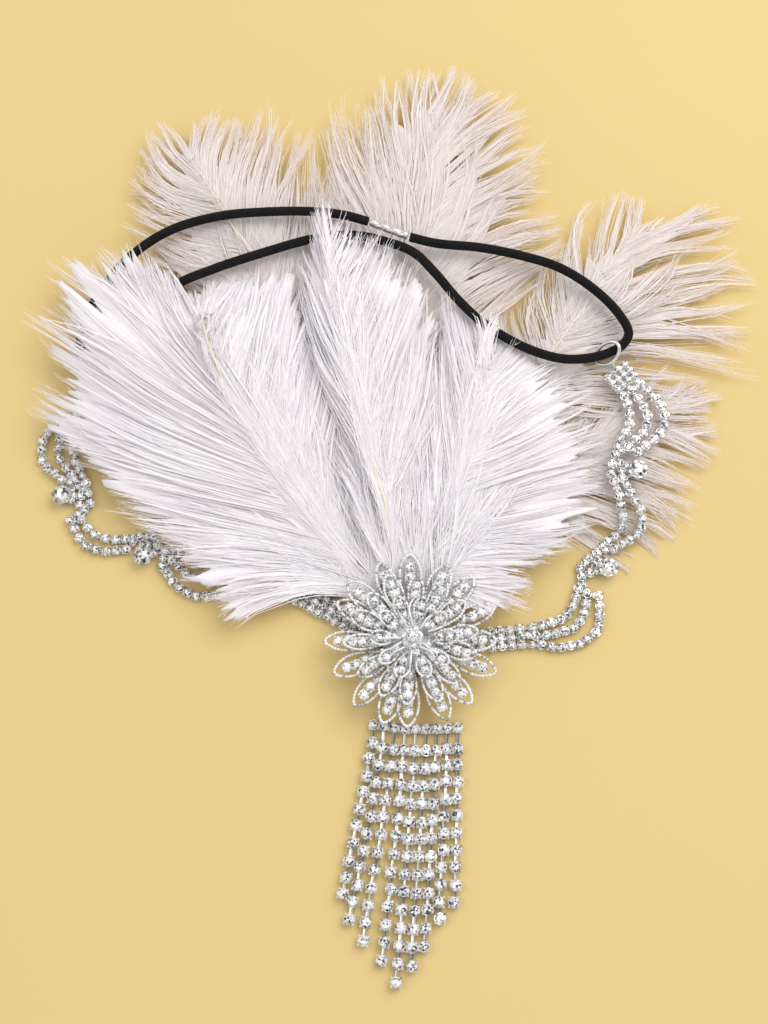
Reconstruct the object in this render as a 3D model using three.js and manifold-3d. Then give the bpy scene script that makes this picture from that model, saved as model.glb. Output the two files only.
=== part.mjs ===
// Flapper feather headband, lying on its back: a layered rhinestone flower with a
// fan of ostrich plumes behind it, a stone fringe below it, a swagged stone chain
// to each side and a black elastic that closes the loop behind the head.
// Millimetres, +Z up. Origin: middle of the flower's flat back, on the surface
// that the headband lies on. +X is to the wearer's left (right in a front view),
// +Y runs from the flower towards the plume tips.
import * as THREE from "three";
import { mergeVertices } from "three/addons/utils/BufferGeometryUtils.js";
import Module from "manifold-3d";

const wasm = await Module();
wasm.setup();

// ------------------------------------------------------------ driving sizes
const GAP = 0.3; // clearance between neighbouring pieces

const FLOWER_RADIUS = 26.5; // tip of the outer petals
const BASE_RADIUS = 10; // flat back plate
const BASE_THICKNESS = 1.5;
const POST_RADIUS = 6; // boss that carries the petal tiers
const POST_TOP = 4.9;
const CENTRE_STONE_RADIUS = 3.4;

const STONE_WIDTH = 2.6; // cup-chain width
const STONE_HEIGHT = 2.3; // cup-chain height off the surface
const CRYSTAL_RADIUS = 2.85; // large set crystals on the chains
const CRYSTAL_HEIGHT = 4.6;
const BLOCK_PITCH = 2.3; // stone pitch of the pave end blocks
const BLOCK_ROWS = 3;
const BLOCK_COLUMNS = 4;

const RING_HALF_LENGTH = 4.4; // centreline of the oval end rings
const RING_HALF_WIDTH = 3;
const RING_WIRE = 1.0;
const RING_TILT = 38; // degrees, so that the elastic threads through

const CORD_DIAMETER = 2.9;
const CRIMP_WIDTH = 2.2;
const CRIMP_HEIGHT = 3.2;

const FRINGE_STRANDS = 9;
const FRINGE_PITCH = 3.15;
const FRINGE_LEFT_X = -11.6;
const FRINGE_TOP_Y = -25.3;

const VANE_EDGE = 0.5; // half thickness of a plume's thin edge

// ------------------------------------------------------------ materials
const silver = (shade) => new THREE.MeshStandardMaterial({ color: shade, roughness: 0.2, metalness: 1 });
const metal = silver(0xd9dade);
const stone = new THREE.MeshStandardMaterial({ color: 0xf1f4f8, roughness: 0.05, metalness: 0.1 });
const feather = new THREE.MeshStandardMaterial({ color: 0xf3ebe8, roughness: 0.9, metalness: 0 });
const elastic = new THREE.MeshStandardMaterial({ color: 0x141414, roughness: 0.85, metalness: 0 });

const headband = new THREE.Group();

function add(name, geometry, material, parent = headband) {
  const mesh = new THREE.Mesh(geometry, material);
  mesh.name = name;
  parent.add(mesh);
  return mesh;
}

// ------------------------------------------------------------ helpers
const rad = (deg) => (deg * Math.PI) / 180;

function bare(geometry) {
  const g = geometry.index ? geometry.toNonIndexed() : geometry.clone();
  g.deleteAttribute("normal");
  g.deleteAttribute("uv");
  return mergeVertices(g, 1e-4);
}

function solid(geometry) {
  const g = bare(geometry);
  return new wasm.Manifold(
    new wasm.Mesh({
      numProp: 3,
      vertProperties: new Float32Array(g.attributes.position.array),
      triVerts: new Uint32Array(g.index.array),
    }),
  );
}

function fromSolid(manifold) {
  const mesh = manifold.getMesh();
  const g = new THREE.BufferGeometry();
  g.setAttribute("position", new THREE.BufferAttribute(new Float32Array(mesh.vertProperties), 3));
  g.setIndex(new THREE.BufferAttribute(new Uint32Array(mesh.triVerts), 1));
  g.computeVertexNormals();
  return g;
}

function union(geometries) {
  return fromSolid(geometries.map(solid).reduce((a, b) => a.add(b)));
}

// A closed skin through rings of equal point count, capped at both ends.
function loft(rings) {
  const n = rings[0].length;
  const position = [];
  const index = [];
  rings.forEach((ring) => ring.forEach((p) => position.push(p.x, p.y, p.z)));
  for (let i = 0; i + 1 < rings.length; i++) {
    for (let j = 0; j < n; j++) {
      const a = i * n + j;
      const b = i * n + ((j + 1) % n);
      index.push(a, b, b + n, a, b + n, a + n);
    }
  }
  const last = (rings.length - 1) * n;
  for (let j = 1; j + 1 < n; j++) {
    index.push(0, j + 1, j);
    index.push(last, last + j, last + j + 1);
  }
  const g = new THREE.BufferGeometry();
  g.setAttribute("position", new THREE.BufferAttribute(new Float32Array(position), 3));
  g.setIndex(index);
  g.computeVertexNormals();
  return g;
}

// Sideways direction, level with the surface, at parameter u of a curve.
function sideways(curve, u) {
  const t = curve.getTangent(u);
  return new THREE.Vector3(-t.y, t.x, 0).normalize();
}

// A run of cup chain: a low bevelled bar along a curve that stays level sideways.
function stoneRun(points, steps, width = STONE_WIDTH, height = STONE_HEIGHT) {
  const curve = new THREE.CatmullRomCurve3(points.map((p) => new THREE.Vector3(...p)), false, "centripetal");
  const w = width / 2;
  const outline = [
    [w, 0.25], [w, 0.6], [w * 0.7, 1], [-w * 0.7, 1], [-w, 0.6], [-w, 0.25], [-w * 0.7, 0], [w * 0.7, 0],
  ];
  const rings = [];
  for (let i = 0; i <= steps; i++) {
    const u = i / steps;
    const c = curve.getPointAt(u);
    const n = sideways(curve, curve.getUtoTmapping(u));
    rings.push(outline.map(([s, k]) => new THREE.Vector3(c.x + n.x * s, c.y + n.y * s, c.z + k * height)).reverse());
  }
  return loft(rings.reverse());
}

// Convex plate around a set of stone centres.
function plateAround(centres, radius, z0, z1) {
  const cloud = [];
  centres.forEach(([x, y]) => {
    for (let k = 0; k < 8; k++) {
      const a = rad(45 * k + 22.5);
      cloud.push([x + radius * Math.cos(a), y + radius * Math.sin(a)]);
    }
  });
  cloud.sort((a, b) => a[0] - b[0] || a[1] - b[1]);
  const turn = (o, a, b) => (a[0] - o[0]) * (b[1] - o[1]) - (a[1] - o[1]) * (b[0] - o[0]);
  const half = (list) => {
    const h = [];
    list.forEach((p) => {
      while (h.length > 1 && turn(h[h.length - 2], h[h.length - 1], p) <= 0.05) h.pop();
      h.push(p);
    });
    h.pop();
    return h;
  };
  const hull = [...half(cloud), ...half([...cloud].reverse())];
  const shape = new THREE.Shape(hull.map(([x, y]) => new THREE.Vector2(x, y)));
  const g = new THREE.ExtrudeGeometry(shape, { depth: z1 - z0, bevelEnabled: false });
  g.translate(0, 0, z0);
  return g;
}

// ------------------------------------------------------------ flower
const baseProfile = [
  [0, 0], [BASE_RADIUS, 0], [BASE_RADIUS, BASE_THICKNESS], [POST_RADIUS, BASE_THICKNESS],
  [POST_RADIUS, POST_TOP], [0, POST_TOP],
];
function lathe(profile, segments) {
  const g = new THREE.LatheGeometry(profile.map(([r, z]) => new THREE.Vector2(r, z)), segments);
  g.rotateX(Math.PI / 2);
  return g;
}
add("brooch_base", lathe(baseProfile, 32), metal);

// One pointed petal lying along +X, wide in the middle: an open wire outline, or
// a full blade where wire is 0 because its stones pave it.
function petal(inner, outer, width, wire, thickness, lift) {
  const steps = 4;
  const outline = (shrink) => {
    const a = inner + shrink * 1.6;
    const b = outer - shrink * 1.9;
    const half = width / 2 - shrink;
    const side = (s) => {
      const row = [];
      for (let i = 1; i < steps; i++) {
        const t = i / steps;
        row.push(new THREE.Vector2(a + (b - a) * t, s * half * Math.sin(Math.PI * t ** 1.25) ** 0.9));
      }
      return row;
    };
    return [new THREE.Vector2(a, 0), ...side(-1), new THREE.Vector2(b, 0), ...side(1).reverse()];
  };
  const shape = new THREE.Shape(outline(0));
  if (wire > 0) shape.holes.push(new THREE.Path(outline(wire)));
  const g = new THREE.ExtrudeGeometry(shape, { depth: thickness, bevelEnabled: false });
  g.translate(-inner, 0, 0);
  g.rotateY(-Math.atan2(lift, outer - inner));
  g.translate(inner, 0, 0);
  return g;
}

// petals, hub radius, petal root and tip, width, wire, floor of the hub, rise to the tip, turn
const TIERS = [
  { name: "petals_outer", count: 16, hub: 9, root: 8, tip: FLOWER_RADIUS, width: 7.4, wire: 0.95, z: 5.2, rise: 1.6, turn: 0 },
  { name: "petals_middle", count: 14, hub: 7, root: 6, tip: 20.5, width: 6.2, wire: 0, z: 6.8, rise: 3.0, turn: 8 },
  { name: "petals_inner", count: 10, hub: 5, root: 4, tip: 13.5, width: 5.4, wire: 0, z: 8.4, rise: 4.0, turn: 0 },
];
const TIER_THICKNESS = 1.3;
TIERS.forEach((tier) => {
  const hub = new THREE.CylinderGeometry(tier.hub, tier.hub, TIER_THICKNESS, 24);
  hub.rotateX(Math.PI / 2);
  hub.translate(0, 0, tier.z + TIER_THICKNESS / 2);
  const parts = [hub];
  for (let k = 0; k < tier.count; k++) {
    const g = petal(tier.root, tier.tip, tier.width, tier.wire, TIER_THICKNESS, tier.rise);
    g.translate(0, 0, tier.z);
    g.rotateZ(rad(tier.turn + (360 / tier.count) * k));
    parts.push(g);
  }
  add(tier.name, union(parts), metal);
});
add(
  "centre_stone",
  lathe(
    [[0, 10], [2.2, 10], [CENTRE_STONE_RADIUS, 11.4], [CENTRE_STONE_RADIUS, 12.6], [2, 14.6], [0, 14.6]],
    16,
  ),
  stone,
);

// ------------------------------------------------------------ fringe
// foot of each strand, left to right
const FRINGE_FEET = [
  { x: -20.9, y: -74.6 }, { x: -18.6, y: -81.9 }, { x: -14.6, y: -87.9 },
  { x: -9.1, y: -93.5 }, { x: -5.0, y: -100.0 }, { x: -0.7, y: -95.2 },
  { x: 3.4, y: -89.9 }, { x: 7.6, y: -81.9 }, { x: 12.3, y: -77.0 },
];
const barRight = FRINGE_LEFT_X + FRINGE_PITCH * (FRINGE_STRANDS - 1);
add(
  "fringe_bar",
  stoneRun([[FRINGE_LEFT_X - 1.4, FRINGE_TOP_Y, 0], [(FRINGE_LEFT_X + barRight) / 2, FRINGE_TOP_Y, 0], [barRight + 1.4, FRINGE_TOP_Y, 0]], 4),
  metal,
);
FRINGE_FEET.forEach((foot, i) => {
  const x = FRINGE_LEFT_X + FRINGE_PITCH * i;
  const top = FRINGE_TOP_Y - STONE_WIDTH / 2 - GAP * 1.9;
  const knee = { x: x + (foot.x - x) * 0.46, y: top + (foot.y - top) * 0.5 };
  add(`fringe_strand_${i + 1}`, stoneRun([[x, top, 0], [knee.x, knee.y, 0], [foot.x, foot.y, 0]], 6), metal);
});

// ------------------------------------------------------------ side chains
// Rows of each swag (inner to outer) and the stone rows that tie their ends.
const CHAINS = {
  right: {
    band: { width: 7.6, points: [[10.6, 0.6, 0], [22, 1.2, 0], [34.2, 2.5, 0]] },
    swags: [
      {
        name: "swag_1",
        ties: [[[36.5, 5.3, 0], [37.4, 2.5, 0], [39.2, -0.2, 0]], [[50.7, 17.3, 0], [53.4, 15.6, 0], [56.6, 14.9, 0]]],
        rows: [
          [[37, 5.3, 0], [41, 6.2, 0], [45.1, 7.6, 0], [48.2, 10.2, 0], [49.7, 13.6, 0], [50.8, 16.8, 0]],
          [[38, 2.6, 0], [43.3, 3.2, 0], [49.6, 5.4, 0], [52.2, 9.5, 0], [53.3, 15.2, 0]],
          [[39.6, -0.3, 0], [44, -1, 0], [51.6, 0.6, 0], [56.3, 4.6, 0], [57, 10.3, 0], [56.6, 14.6, 0]],
        ],
      },
      {
        name: "swag_2",
        ties: [[[60, 31.9, 0.9], [61.7, 29.6, 0.9]], [[63.4, 45.1, 5.4], [66.8, 46.2, 5.4]]],
        rows: [
          [[60.2, 32, 0.9], [63.6, 34.6, 1.8], [64.8, 38, 3], [64, 42, 4.4], [63.9, 45, 5.4]],
          [[61.8, 29.8, 0.9], [66.4, 31.9, 1.6], [70.2, 35.4, 2.6], [70.2, 40, 3.8], [66.8, 46, 5.4]],
        ],
      },
      {
        name: "swag_3",
        ties: [[[64.4, 62.7, 6], [66.8, 60.4, 6], [69.4, 59, 6]], [[65.9, 77, 6], [68.4, 78.9, 6], [71, 80.8, 6]]],
        rows: [
          [[64.6, 62.8, 6], [66.9, 66.7, 6], [67.4, 72, 6], [66, 76.8, 6]],
          [[67, 61, 6], [71.6, 65.4, 6], [72.8, 71, 6], [68.8, 78.4, 6]],
          [[69.7, 59.4, 6], [76.6, 64.9, 6], [78.3, 70, 6], [76.2, 75.4, 6], [71.4, 80.4, 6]],
        ],
      },
    ],
    clusters: [
      { name: "1", z: 0, stones: [[51.6, 20.9], [51.7, 23.6], [54.2, 26.6], [54.3, 22.2], [56.6, 28.5]], crystal: [59.9, 23.4] },
      { name: "2", z: 6, stones: [[62, 49.4], [64.6, 50.4], [61.1, 51.9], [61.5, 55], [64.2, 55.2], [62.4, 58.2]], crystal: [69.2, 52.8] },
    ],
    block: { x: 65.1, y: 83.2, z: 6, angle: 38.5 },
    ring: { x: 60.9, y: 90.2, z: 9.4, angle: 33 },
  },
  left: {
    band: { width: 7.6, points: [[-10.8, 3.4, 0], [-17.5, 6.4, 0], [-25, 10.6, 0], [-34, 15.4, 0], [-43.2, 18.6, 0], [-52.4, 20.3, 0]] },
    swags: [
      {
        name: "swag_1",
        ties: [[[-56, 23.3, 0], [-55, 20.2, 0], [-54.5, 17.2, 0]], [[-76.2, 24.2, 0], [-73.4, 26.2, 0], [-71.2, 28.6, 0]]],
        rows: [
          [[-55.8, 23.3, 0], [-61.3, 24, 0], [-65.4, 25, 0], [-71, 28.3, 0]],
          [[-55, 20.3, 0], [-61.4, 19.8, 0], [-67.7, 21.2, 0], [-73.2, 26, 0]],
          [[-54.5, 17.3, 0], [-60, 15.3, 0], [-65.7, 14.9, 0], [-71.3, 18, 0], [-76, 24, 0]],
        ],
      },
      {
        name: "swag_2",
        ties: [[[-87.7, 32.8, 0], [-87.4, 29.6, 0]], [[-105, 38.7, 0], [-101.4, 38.9, 0]]],
        rows: [
          [[-87.9, 32.8, 0], [-92.2, 32.7, 0], [-97, 34, 0], [-101.2, 38.6, 0]],
          [[-87.6, 29.6, 0], [-94.2, 29, 0], [-100.2, 31.2, 0], [-104.8, 38.4, 0]],
        ],
      },
      {
        name: "swag_3",
        ties: [[[-108.3, 51.7, 0], [-105.2, 53.5, 0], [-102.6, 55.3, 0]], [[-111, 69, 0], [-108.2, 67.8, 0], [-104.8, 66.2, 0]]],
        rows: [
          [[-102.9, 55.2, 0], [-104.7, 59.6, 0], [-104.8, 65.9, 0]],
          [[-105.3, 53.6, 0], [-109.2, 58.6, 0], [-109.4, 63.4, 0], [-108.3, 67.6, 0]],
          [[-108.3, 51.9, 0], [-113.6, 56.6, 0], [-114.8, 61.6, 0], [-113.7, 66, 0], [-111, 68.8, 0]],
        ],
      },
    ],
    clusters: [
      { name: "1", z: 0, stones: [[-83.4, 33.4], [-79.2, 33.6], [-78, 30.8], [-75.6, 29.2]], crystal: [-82, 27.2] },
      { name: "2", z: 0, stones: [[-103, 50], [-100.8, 50.6], [-101.6, 46.7], [-99.4, 47.4], [-102.2, 43.6], [-98.9, 44.3], [-100.8, 42.3]], crystal: [-107.6, 46.4] },
    ],
    block: { x: -100.2, y: 77.2, z: 0, angle: -30 },
    ring: { x: -96.2, y: 86.7, z: 3.3, angle: 2 },
  },
};

function ringCurve() {
  const points = [];
  for (let k = 0; k < 20; k++) {
    const a = rad(18 * k);
    points.push(new THREE.Vector3(RING_HALF_LENGTH * Math.cos(a), RING_HALF_WIDTH * Math.sin(a), 0));
  }
  return points;
}
// A closed wire loop: rings of six points around each point of the oval.
function ringGeometry() {
  const centre = ringCurve();
  const n = centre.length;
  const sides = 6;
  const position = [];
  const index = [];
  centre.forEach((c, i) => {
    const t = centre[(i + 1) % n].clone().sub(centre[(i + n - 1) % n]).normalize();
    const out = new THREE.Vector3(t.y, -t.x, 0);
    for (let j = 0; j < sides; j++) {
      const a = rad((360 / sides) * j);
      position.push(c.x + (out.x * Math.cos(a) * RING_WIRE) / 2, c.y + (out.y * Math.cos(a) * RING_WIRE) / 2, (Math.sin(a) * RING_WIRE) / 2);
    }
  });
  for (let i = 0; i < n; i++) {
    for (let j = 0; j < sides; j++) {
      const a = i * sides + j;
      const b = i * sides + ((j + 1) % sides);
      const c = ((i + 1) % n) * sides + ((j + 1) % sides);
      const d = ((i + 1) % n) * sides + j;
      index.push(a, c, b, a, d, c);
    }
  }
  const g = new THREE.BufferGeometry();
  g.setAttribute("position", new THREE.BufferAttribute(new Float32Array(position), 3));
  g.setIndex(index);
  g.computeVertexNormals();
  return g;
}

Object.entries(CHAINS).forEach(([side, chain]) => {
  add(`band_${side}`, stoneRun(chain.band.points, 6, chain.band.width), metal);
  chain.swags.forEach((swag) => {
    const parts = [
      ...swag.ties.map((tie) => stoneRun(tie, 2, STONE_WIDTH, STONE_HEIGHT + 0.15)),
      ...swag.rows.map((row) => stoneRun(row, 6)),
    ];
    add(`${swag.name}_${side}`, union(parts), metal);
  });
  chain.clusters.forEach((cluster) => {
    add(`cluster_${cluster.name}_${side}`, plateAround(cluster.stones, STONE_WIDTH / 2, cluster.z, cluster.z + STONE_HEIGHT), metal);
    const crystal = lathe(
      [[0, 0], [2.3, 0], [CRYSTAL_RADIUS, 1.4], [CRYSTAL_RADIUS, 3], [1.7, CRYSTAL_HEIGHT], [0, CRYSTAL_HEIGHT]],
      14,
    );
    add(`crystal_${cluster.name}_${side}`, crystal, stone).position.set(...cluster.crystal, cluster.z);
  });
  const { block, ring } = chain;
  const plate = new THREE.BoxGeometry(BLOCK_COLUMNS * BLOCK_PITCH, BLOCK_ROWS * BLOCK_PITCH, STONE_HEIGHT);
  const blockMesh = add(`end_block_${side}`, plate, metal);
  blockMesh.position.set(block.x, block.y, block.z + STONE_HEIGHT / 2);
  blockMesh.rotation.z = rad(block.angle);
  const ringMesh = add(`end_ring_${side}`, ringGeometry(), metal);
  ringMesh.rotation.set(0, -rad(RING_TILT), rad(ring.angle), "ZYX");
  ringMesh.position.set(ring.x, ring.y, ring.z);
});

// ------------------------------------------------------------ elastic
// From the crimp's right end, through the right ring, back under the crimp,
// through the left ring and home to the crimp's left end.
const ELASTIC_ROUTE = [
  { x: -0.4, y: 128.5, z: 10.4 }, { x: 8, y: 126.6, z: 9.9 }, { x: 22, y: 125.2, z: 9.75 },
  { x: 35, y: 122.4, z: 9.75 }, { x: 46.7, y: 118.4, z: 9.75 }, { x: 57, y: 111.4, z: 9.75 },
  { x: 64.6, y: 103.2, z: 9.75 }, { x: 67.6, y: 96.8, z: 9.6 }, { x: 65.6, y: 92.9, z: 9.4 },
  { x: 60.9, y: 90.2, z: 9.4 }, { x: 55, y: 88.6, z: 9.5 }, { x: 47.5, y: 88.2, z: 9.75 },
  { x: 39.5, y: 90.2, z: 9.75 }, { x: 31, y: 94.2, z: 9.75 }, { x: 22, y: 100.4, z: 9.75 },
  { x: 14.6, y: 107.8, z: 9.75 }, { x: 7.6, y: 116.6, z: 9.75 }, { x: 0.8, y: 123.6, z: 9.75 },
  { x: -8, y: 127.3, z: 9.75 }, { x: -18, y: 129.4, z: 9.75 }, { x: -29, y: 128.6, z: 9.75 },
  { x: -45, y: 124, z: 9.75 }, { x: -63, y: 117.6, z: 9.75 }, { x: -74, y: 112.4, z: 9.75 },
  { x: -81.6, y: 105.4, z: 8.4 }, { x: -86.2, y: 97.6, z: 5.6 }, { x: -90.2, y: 90, z: 3.5 },
  { x: -96.2, y: 86.7, z: 3.3 }, { x: -102, y: 89.4, z: 3.3 }, { x: -103.8, y: 96.2, z: 3.6 },
  { x: -101.4, y: 104.8, z: 4.8 }, { x: -95.8, y: 114, z: 7.2 }, { x: -87.4, y: 123.2, z: 9.2 },
  { x: -76, y: 131, z: 9.75 }, { x: -61, y: 135.8, z: 9.75 }, { x: -45, y: 137.4, z: 9.75 },
  { x: -30, y: 137.4, z: 9.75 }, { x: -20.5, y: 136, z: 10 }, { x: -13.5, y: 133.8, z: 10.4 },
];
const ELASTIC_STEPS = 80;
const elasticPath = new THREE.CatmullRomCurve3(
  ELASTIC_ROUTE.map((p) => new THREE.Vector3(p.x, p.y, p.z)), false, "centripetal",
);
const elasticSection = new THREE.Shape(
  Array.from({ length: 8 }, (_, k) => new THREE.Vector2(Math.cos(rad(45 * k)), Math.sin(rad(45 * k))).multiplyScalar(CORD_DIAMETER / 2)),
);
add("elastic_cord", new THREE.ExtrudeGeometry(elasticSection, { steps: ELASTIC_STEPS, extrudePath: elasticPath }), elastic);

// flattened sleeve that joins the two ends of the elastic
const crimpFrom = new THREE.Vector3(-12.8, 133.45, 10.4);
const crimpTo = new THREE.Vector3(-1.1, 128.75, 10.4);
const sleeve = new THREE.Shape(
  Array.from({ length: 12 }, (_, k) => new THREE.Vector2((Math.cos(rad(30 * k)) * CRIMP_WIDTH) / 2, (Math.sin(rad(30 * k)) * CRIMP_HEIGHT) / 2)),
);
const crimpLength = crimpFrom.distanceTo(crimpTo);
const crimpGeometry = new THREE.ExtrudeGeometry(sleeve, { depth: crimpLength, bevelEnabled: false });
crimpGeometry.rotateX(Math.PI / 2);
const crimp = add("crimp_sleeve", crimpGeometry, metal);
crimp.position.copy(crimpFrom);
crimp.rotation.z = Math.atan2(crimpTo.y - crimpFrom.y, crimpTo.x - crimpFrom.x) + Math.PI / 2;

// ------------------------------------------------------------ plumes
// Stations along each quill: x, y, reach of the vane to the left and right of
// it, and the underside and top of the vane.
const PLUMES = {
  plume_front_left: [
    { x: -7.4, y: 6.7, left: 0.9, right: 0.9, low: 1.9, high: 3.7 },
    { x: -16.5, y: 21, left: 0.9, right: 0.9, low: 3.0, high: 4.8 },
    { x: -19, y: 24.5, left: 24, right: 5, low: 4.4, high: 8.5 },
    { x: -28, y: 38, left: 36, right: 10, low: 6.4, high: 12 },
    { x: -43, y: 57, left: 46, right: 15, low: 9, high: 17 },
    { x: -57, y: 78, left: 52, right: 18, low: 11.6, high: 20.5 },
    { x: -64, y: 97, left: 46, right: 19, low: 11.6, high: 20 },
    { x: -64.5, y: 110, left: 36, right: 13, low: 11.6, high: 17.5 },
    { x: -61, y: 118, left: 15, right: 7, low: 11.8, high: 14.5 },
  ],
  plume_front_centre: [
    { x: -2.8, y: 9.6, left: 0.9, right: 0.9, low: 1.9, high: 3.7 },
    { x: -4.6, y: 26.3, left: 0.9, right: 0.9, low: 3.0, high: 4.8 },
    { x: -5.4, y: 30.5, left: 5, right: 6, low: 4.4, high: 8.5 },
    { x: -8.5, y: 43, left: 9, right: 10, low: 6.4, high: 13 },
    { x: -14, y: 62, left: 13, right: 14, low: 8.4, high: 18 },
    { x: -20, y: 85, left: 16, right: 18, low: 11.6, high: 21.5 },
    { x: -24.5, y: 106, left: 17, right: 20, low: 11.6, high: 21 },
    { x: -26, y: 122, left: 15, right: 17, low: 11.8, high: 18 },
    { x: -26, y: 131, left: 7, right: 7, low: 11.8, high: 14.5 },
  ],
  plume_front_right: [
    { x: 2.8, y: 9.6, left: 0.9, right: 0.9, low: 1.9, high: 3.7 },
    { x: 7.4, y: 25.7, left: 0.9, right: 0.9, low: 3.0, high: 4.8 },
    { x: 8.8, y: 29.5, left: 6, right: 20, low: 4.4, high: 8.5 },
    { x: 12.5, y: 44, left: 9, right: 30, low: 6.4, high: 13 },
    { x: 18, y: 62, left: 13, right: 33, low: 8.4, high: 17.5 },
    { x: 21.6, y: 79, left: 17, right: 30, low: 11, high: 18.5 },
    { x: 22.6, y: 90, left: 15, right: 20, low: 11.6, high: 16.5 },
    { x: 22.6, y: 97, left: 8, right: 8, low: 11.8, high: 14 },
  ],
  plume_rear_left: [
    { x: -5.3, y: 8.5, left: 0.9, right: 0.9, low: 1.9, high: 3.7 },
    { x: -13, y: 30, left: 0.9, right: 0.9, low: 1.6, high: 3.4 },
    { x: -18, y: 46, left: 3, right: 3, low: 0.6, high: 4 },
    { x: -25, y: 66, left: 12, right: 9, low: 0, high: 5.6 },
    { x: -37, y: 95, left: 20, right: 14, low: 0, high: 7.6 },
    { x: -50, y: 122, left: 28, right: 19, low: 0, high: 8 },
    { x: -62, y: 143, left: 30, right: 23, low: 0, high: 8 },
    { x: -71, y: 158, left: 20, right: 18, low: 0, high: 7 },
    { x: -77, y: 168, left: 8, right: 8, low: 0.6, high: 4 },
  ],
  plume_rear_centre: [
    { x: 0, y: 10, left: 0.9, right: 0.9, low: 1.9, high: 3.7 },
    { x: 0.6, y: 32, left: 0.9, right: 0.9, low: 1.6, high: 3.4 },
    { x: -0.5, y: 47, left: 3, right: 3, low: 0.6, high: 4 },
    { x: -1.5, y: 66, left: 10, right: 10, low: 0, high: 5.6 },
    { x: -3, y: 95, left: 16, right: 18, low: 0, high: 7.6 },
    { x: -3, y: 122, left: 21, right: 25, low: 0, high: 8 },
    { x: 1, y: 146, left: 27, right: 31, low: 0, high: 8 },
    { x: 8, y: 167, left: 25, right: 27, low: 0, high: 7 },
    { x: 16, y: 182, left: 9, right: 9, low: 0.6, high: 4 },
  ],
  plume_rear_right: [
    { x: 5.3, y: 8.5, left: 0.9, right: 0.9, low: 1.9, high: 3.7 },
    { x: 15.5, y: 32, left: 0.9, right: 0.9, low: 1.6, high: 3.4 },
    { x: 21, y: 46, left: 2.5, right: 2.5, low: 0.6, high: 4 },
    { x: 31, y: 68, left: 8, right: 8, low: 0, high: 5 },
    { x: 43, y: 90, left: 14, right: 11, low: 0, high: 5.6 },
    { x: 58, y: 112, left: 21, right: 16, low: 0, high: 6 },
    { x: 70, y: 129, left: 24, right: 22, low: 0, high: 6 },
    { x: 79, y: 142, left: 14, right: 15, low: 0.4, high: 4.6 },
  ],
  plume_rear_low: [
    { x: 7.4, y: 6.7, left: 0.9, right: 0.9, low: 1.9, high: 3.7 },
    { x: 22, y: 27, left: 0.9, right: 0.9, low: 1.6, high: 3.4 },
    { x: 31, y: 38, left: 2.5, right: 2.5, low: 0.6, high: 4 },
    { x: 45, y: 53, left: 7, right: 7, low: 0, high: 5 },
    { x: 60, y: 66, left: 12, right: 12, low: 0, high: 5.6 },
    { x: 78, y: 76, left: 17, right: 17, low: 0, high: 5.6 },
    { x: 94, y: 82, left: 20, right: 25, low: 0, high: 5.6 },
    { x: 107, y: 86, left: 12, right: 14, low: 0.4, high: 4.4 },
  ],
};

// Section of a vane, seen along the quill: thin at both edges, full in the middle.
function vaneRing(row, n) {
  const mid = (row.low + row.high) / 2;
  const edge = Math.min(VANE_EDGE, (row.high - row.low) / 3);
  const at = (s, z) => new THREE.Vector3(row.x + n.x * s, row.y + n.y * s, z);
  const soft = (z) => mid + (z - mid) * 0.82;
  return [
    at(row.left, mid - edge), at(row.left * 0.55, soft(row.low)), at(0, row.low),
    at(-row.right * 0.55, soft(row.low)), at(-row.right, mid - edge),
    at(-row.right, mid + edge), at(-row.right * 0.55, soft(row.high)), at(0, row.high),
    at(row.left * 0.55, soft(row.high)), at(row.left, mid + edge),
  ];
}

function plume(rows) {
  const quill = new THREE.CatmullRomCurve3(rows.map((r) => new THREE.Vector3(r.x, r.y, 0)), false, "centripetal");
  const rings = [];
  const columns = ["left", "right", "low", "high"];
  rows.forEach((row, i) => {
    const t = i / (rows.length - 1);
    rings.push(vaneRing(row, sideways(quill, t)));
    if (i < 2 || i + 1 === rows.length) return;
    const next = rows[i + 1];
    const half = { x: quill.getPoint(t + 0.5 / (rows.length - 1)).x, y: quill.getPoint(t + 0.5 / (rows.length - 1)).y };
    columns.forEach((c) => { half[c] = (row[c] + next[c]) / 2; });
    rings.push(vaneRing(half, sideways(quill, t + 0.5 / (rows.length - 1))));
  });
  return loft(rings.reverse());
}
Object.entries(PLUMES).forEach(([name, rows]) => add(name, plume(rows), feather));

export default headband;
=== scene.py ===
import math
import bpy
import numpy as np
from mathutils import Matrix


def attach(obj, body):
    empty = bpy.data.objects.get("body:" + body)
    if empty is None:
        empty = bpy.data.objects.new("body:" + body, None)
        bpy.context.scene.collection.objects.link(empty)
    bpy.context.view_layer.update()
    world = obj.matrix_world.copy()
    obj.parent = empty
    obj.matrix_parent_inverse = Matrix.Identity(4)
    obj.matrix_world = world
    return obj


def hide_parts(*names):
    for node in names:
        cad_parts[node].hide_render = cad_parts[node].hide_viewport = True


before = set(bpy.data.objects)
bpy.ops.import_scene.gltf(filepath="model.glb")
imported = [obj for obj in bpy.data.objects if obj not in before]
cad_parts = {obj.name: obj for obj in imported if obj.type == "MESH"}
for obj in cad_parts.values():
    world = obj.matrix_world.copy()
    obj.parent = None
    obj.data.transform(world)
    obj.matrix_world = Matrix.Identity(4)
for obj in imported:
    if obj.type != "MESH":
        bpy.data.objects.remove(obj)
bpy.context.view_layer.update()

# Flapper feather headband, lying flat. Tables are in millimetres and repeat the
# frame's driving sizes; meshes are written in metres.
MM = 0.001
SEED = 1926
rng = np.random.default_rng(SEED)


# ------------------------------------------------------------------ helpers
def unit(v):
    n = np.linalg.norm(v, axis=-1, keepdims=True)
    return v / np.where(n < 1e-9, 1, n)


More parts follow.
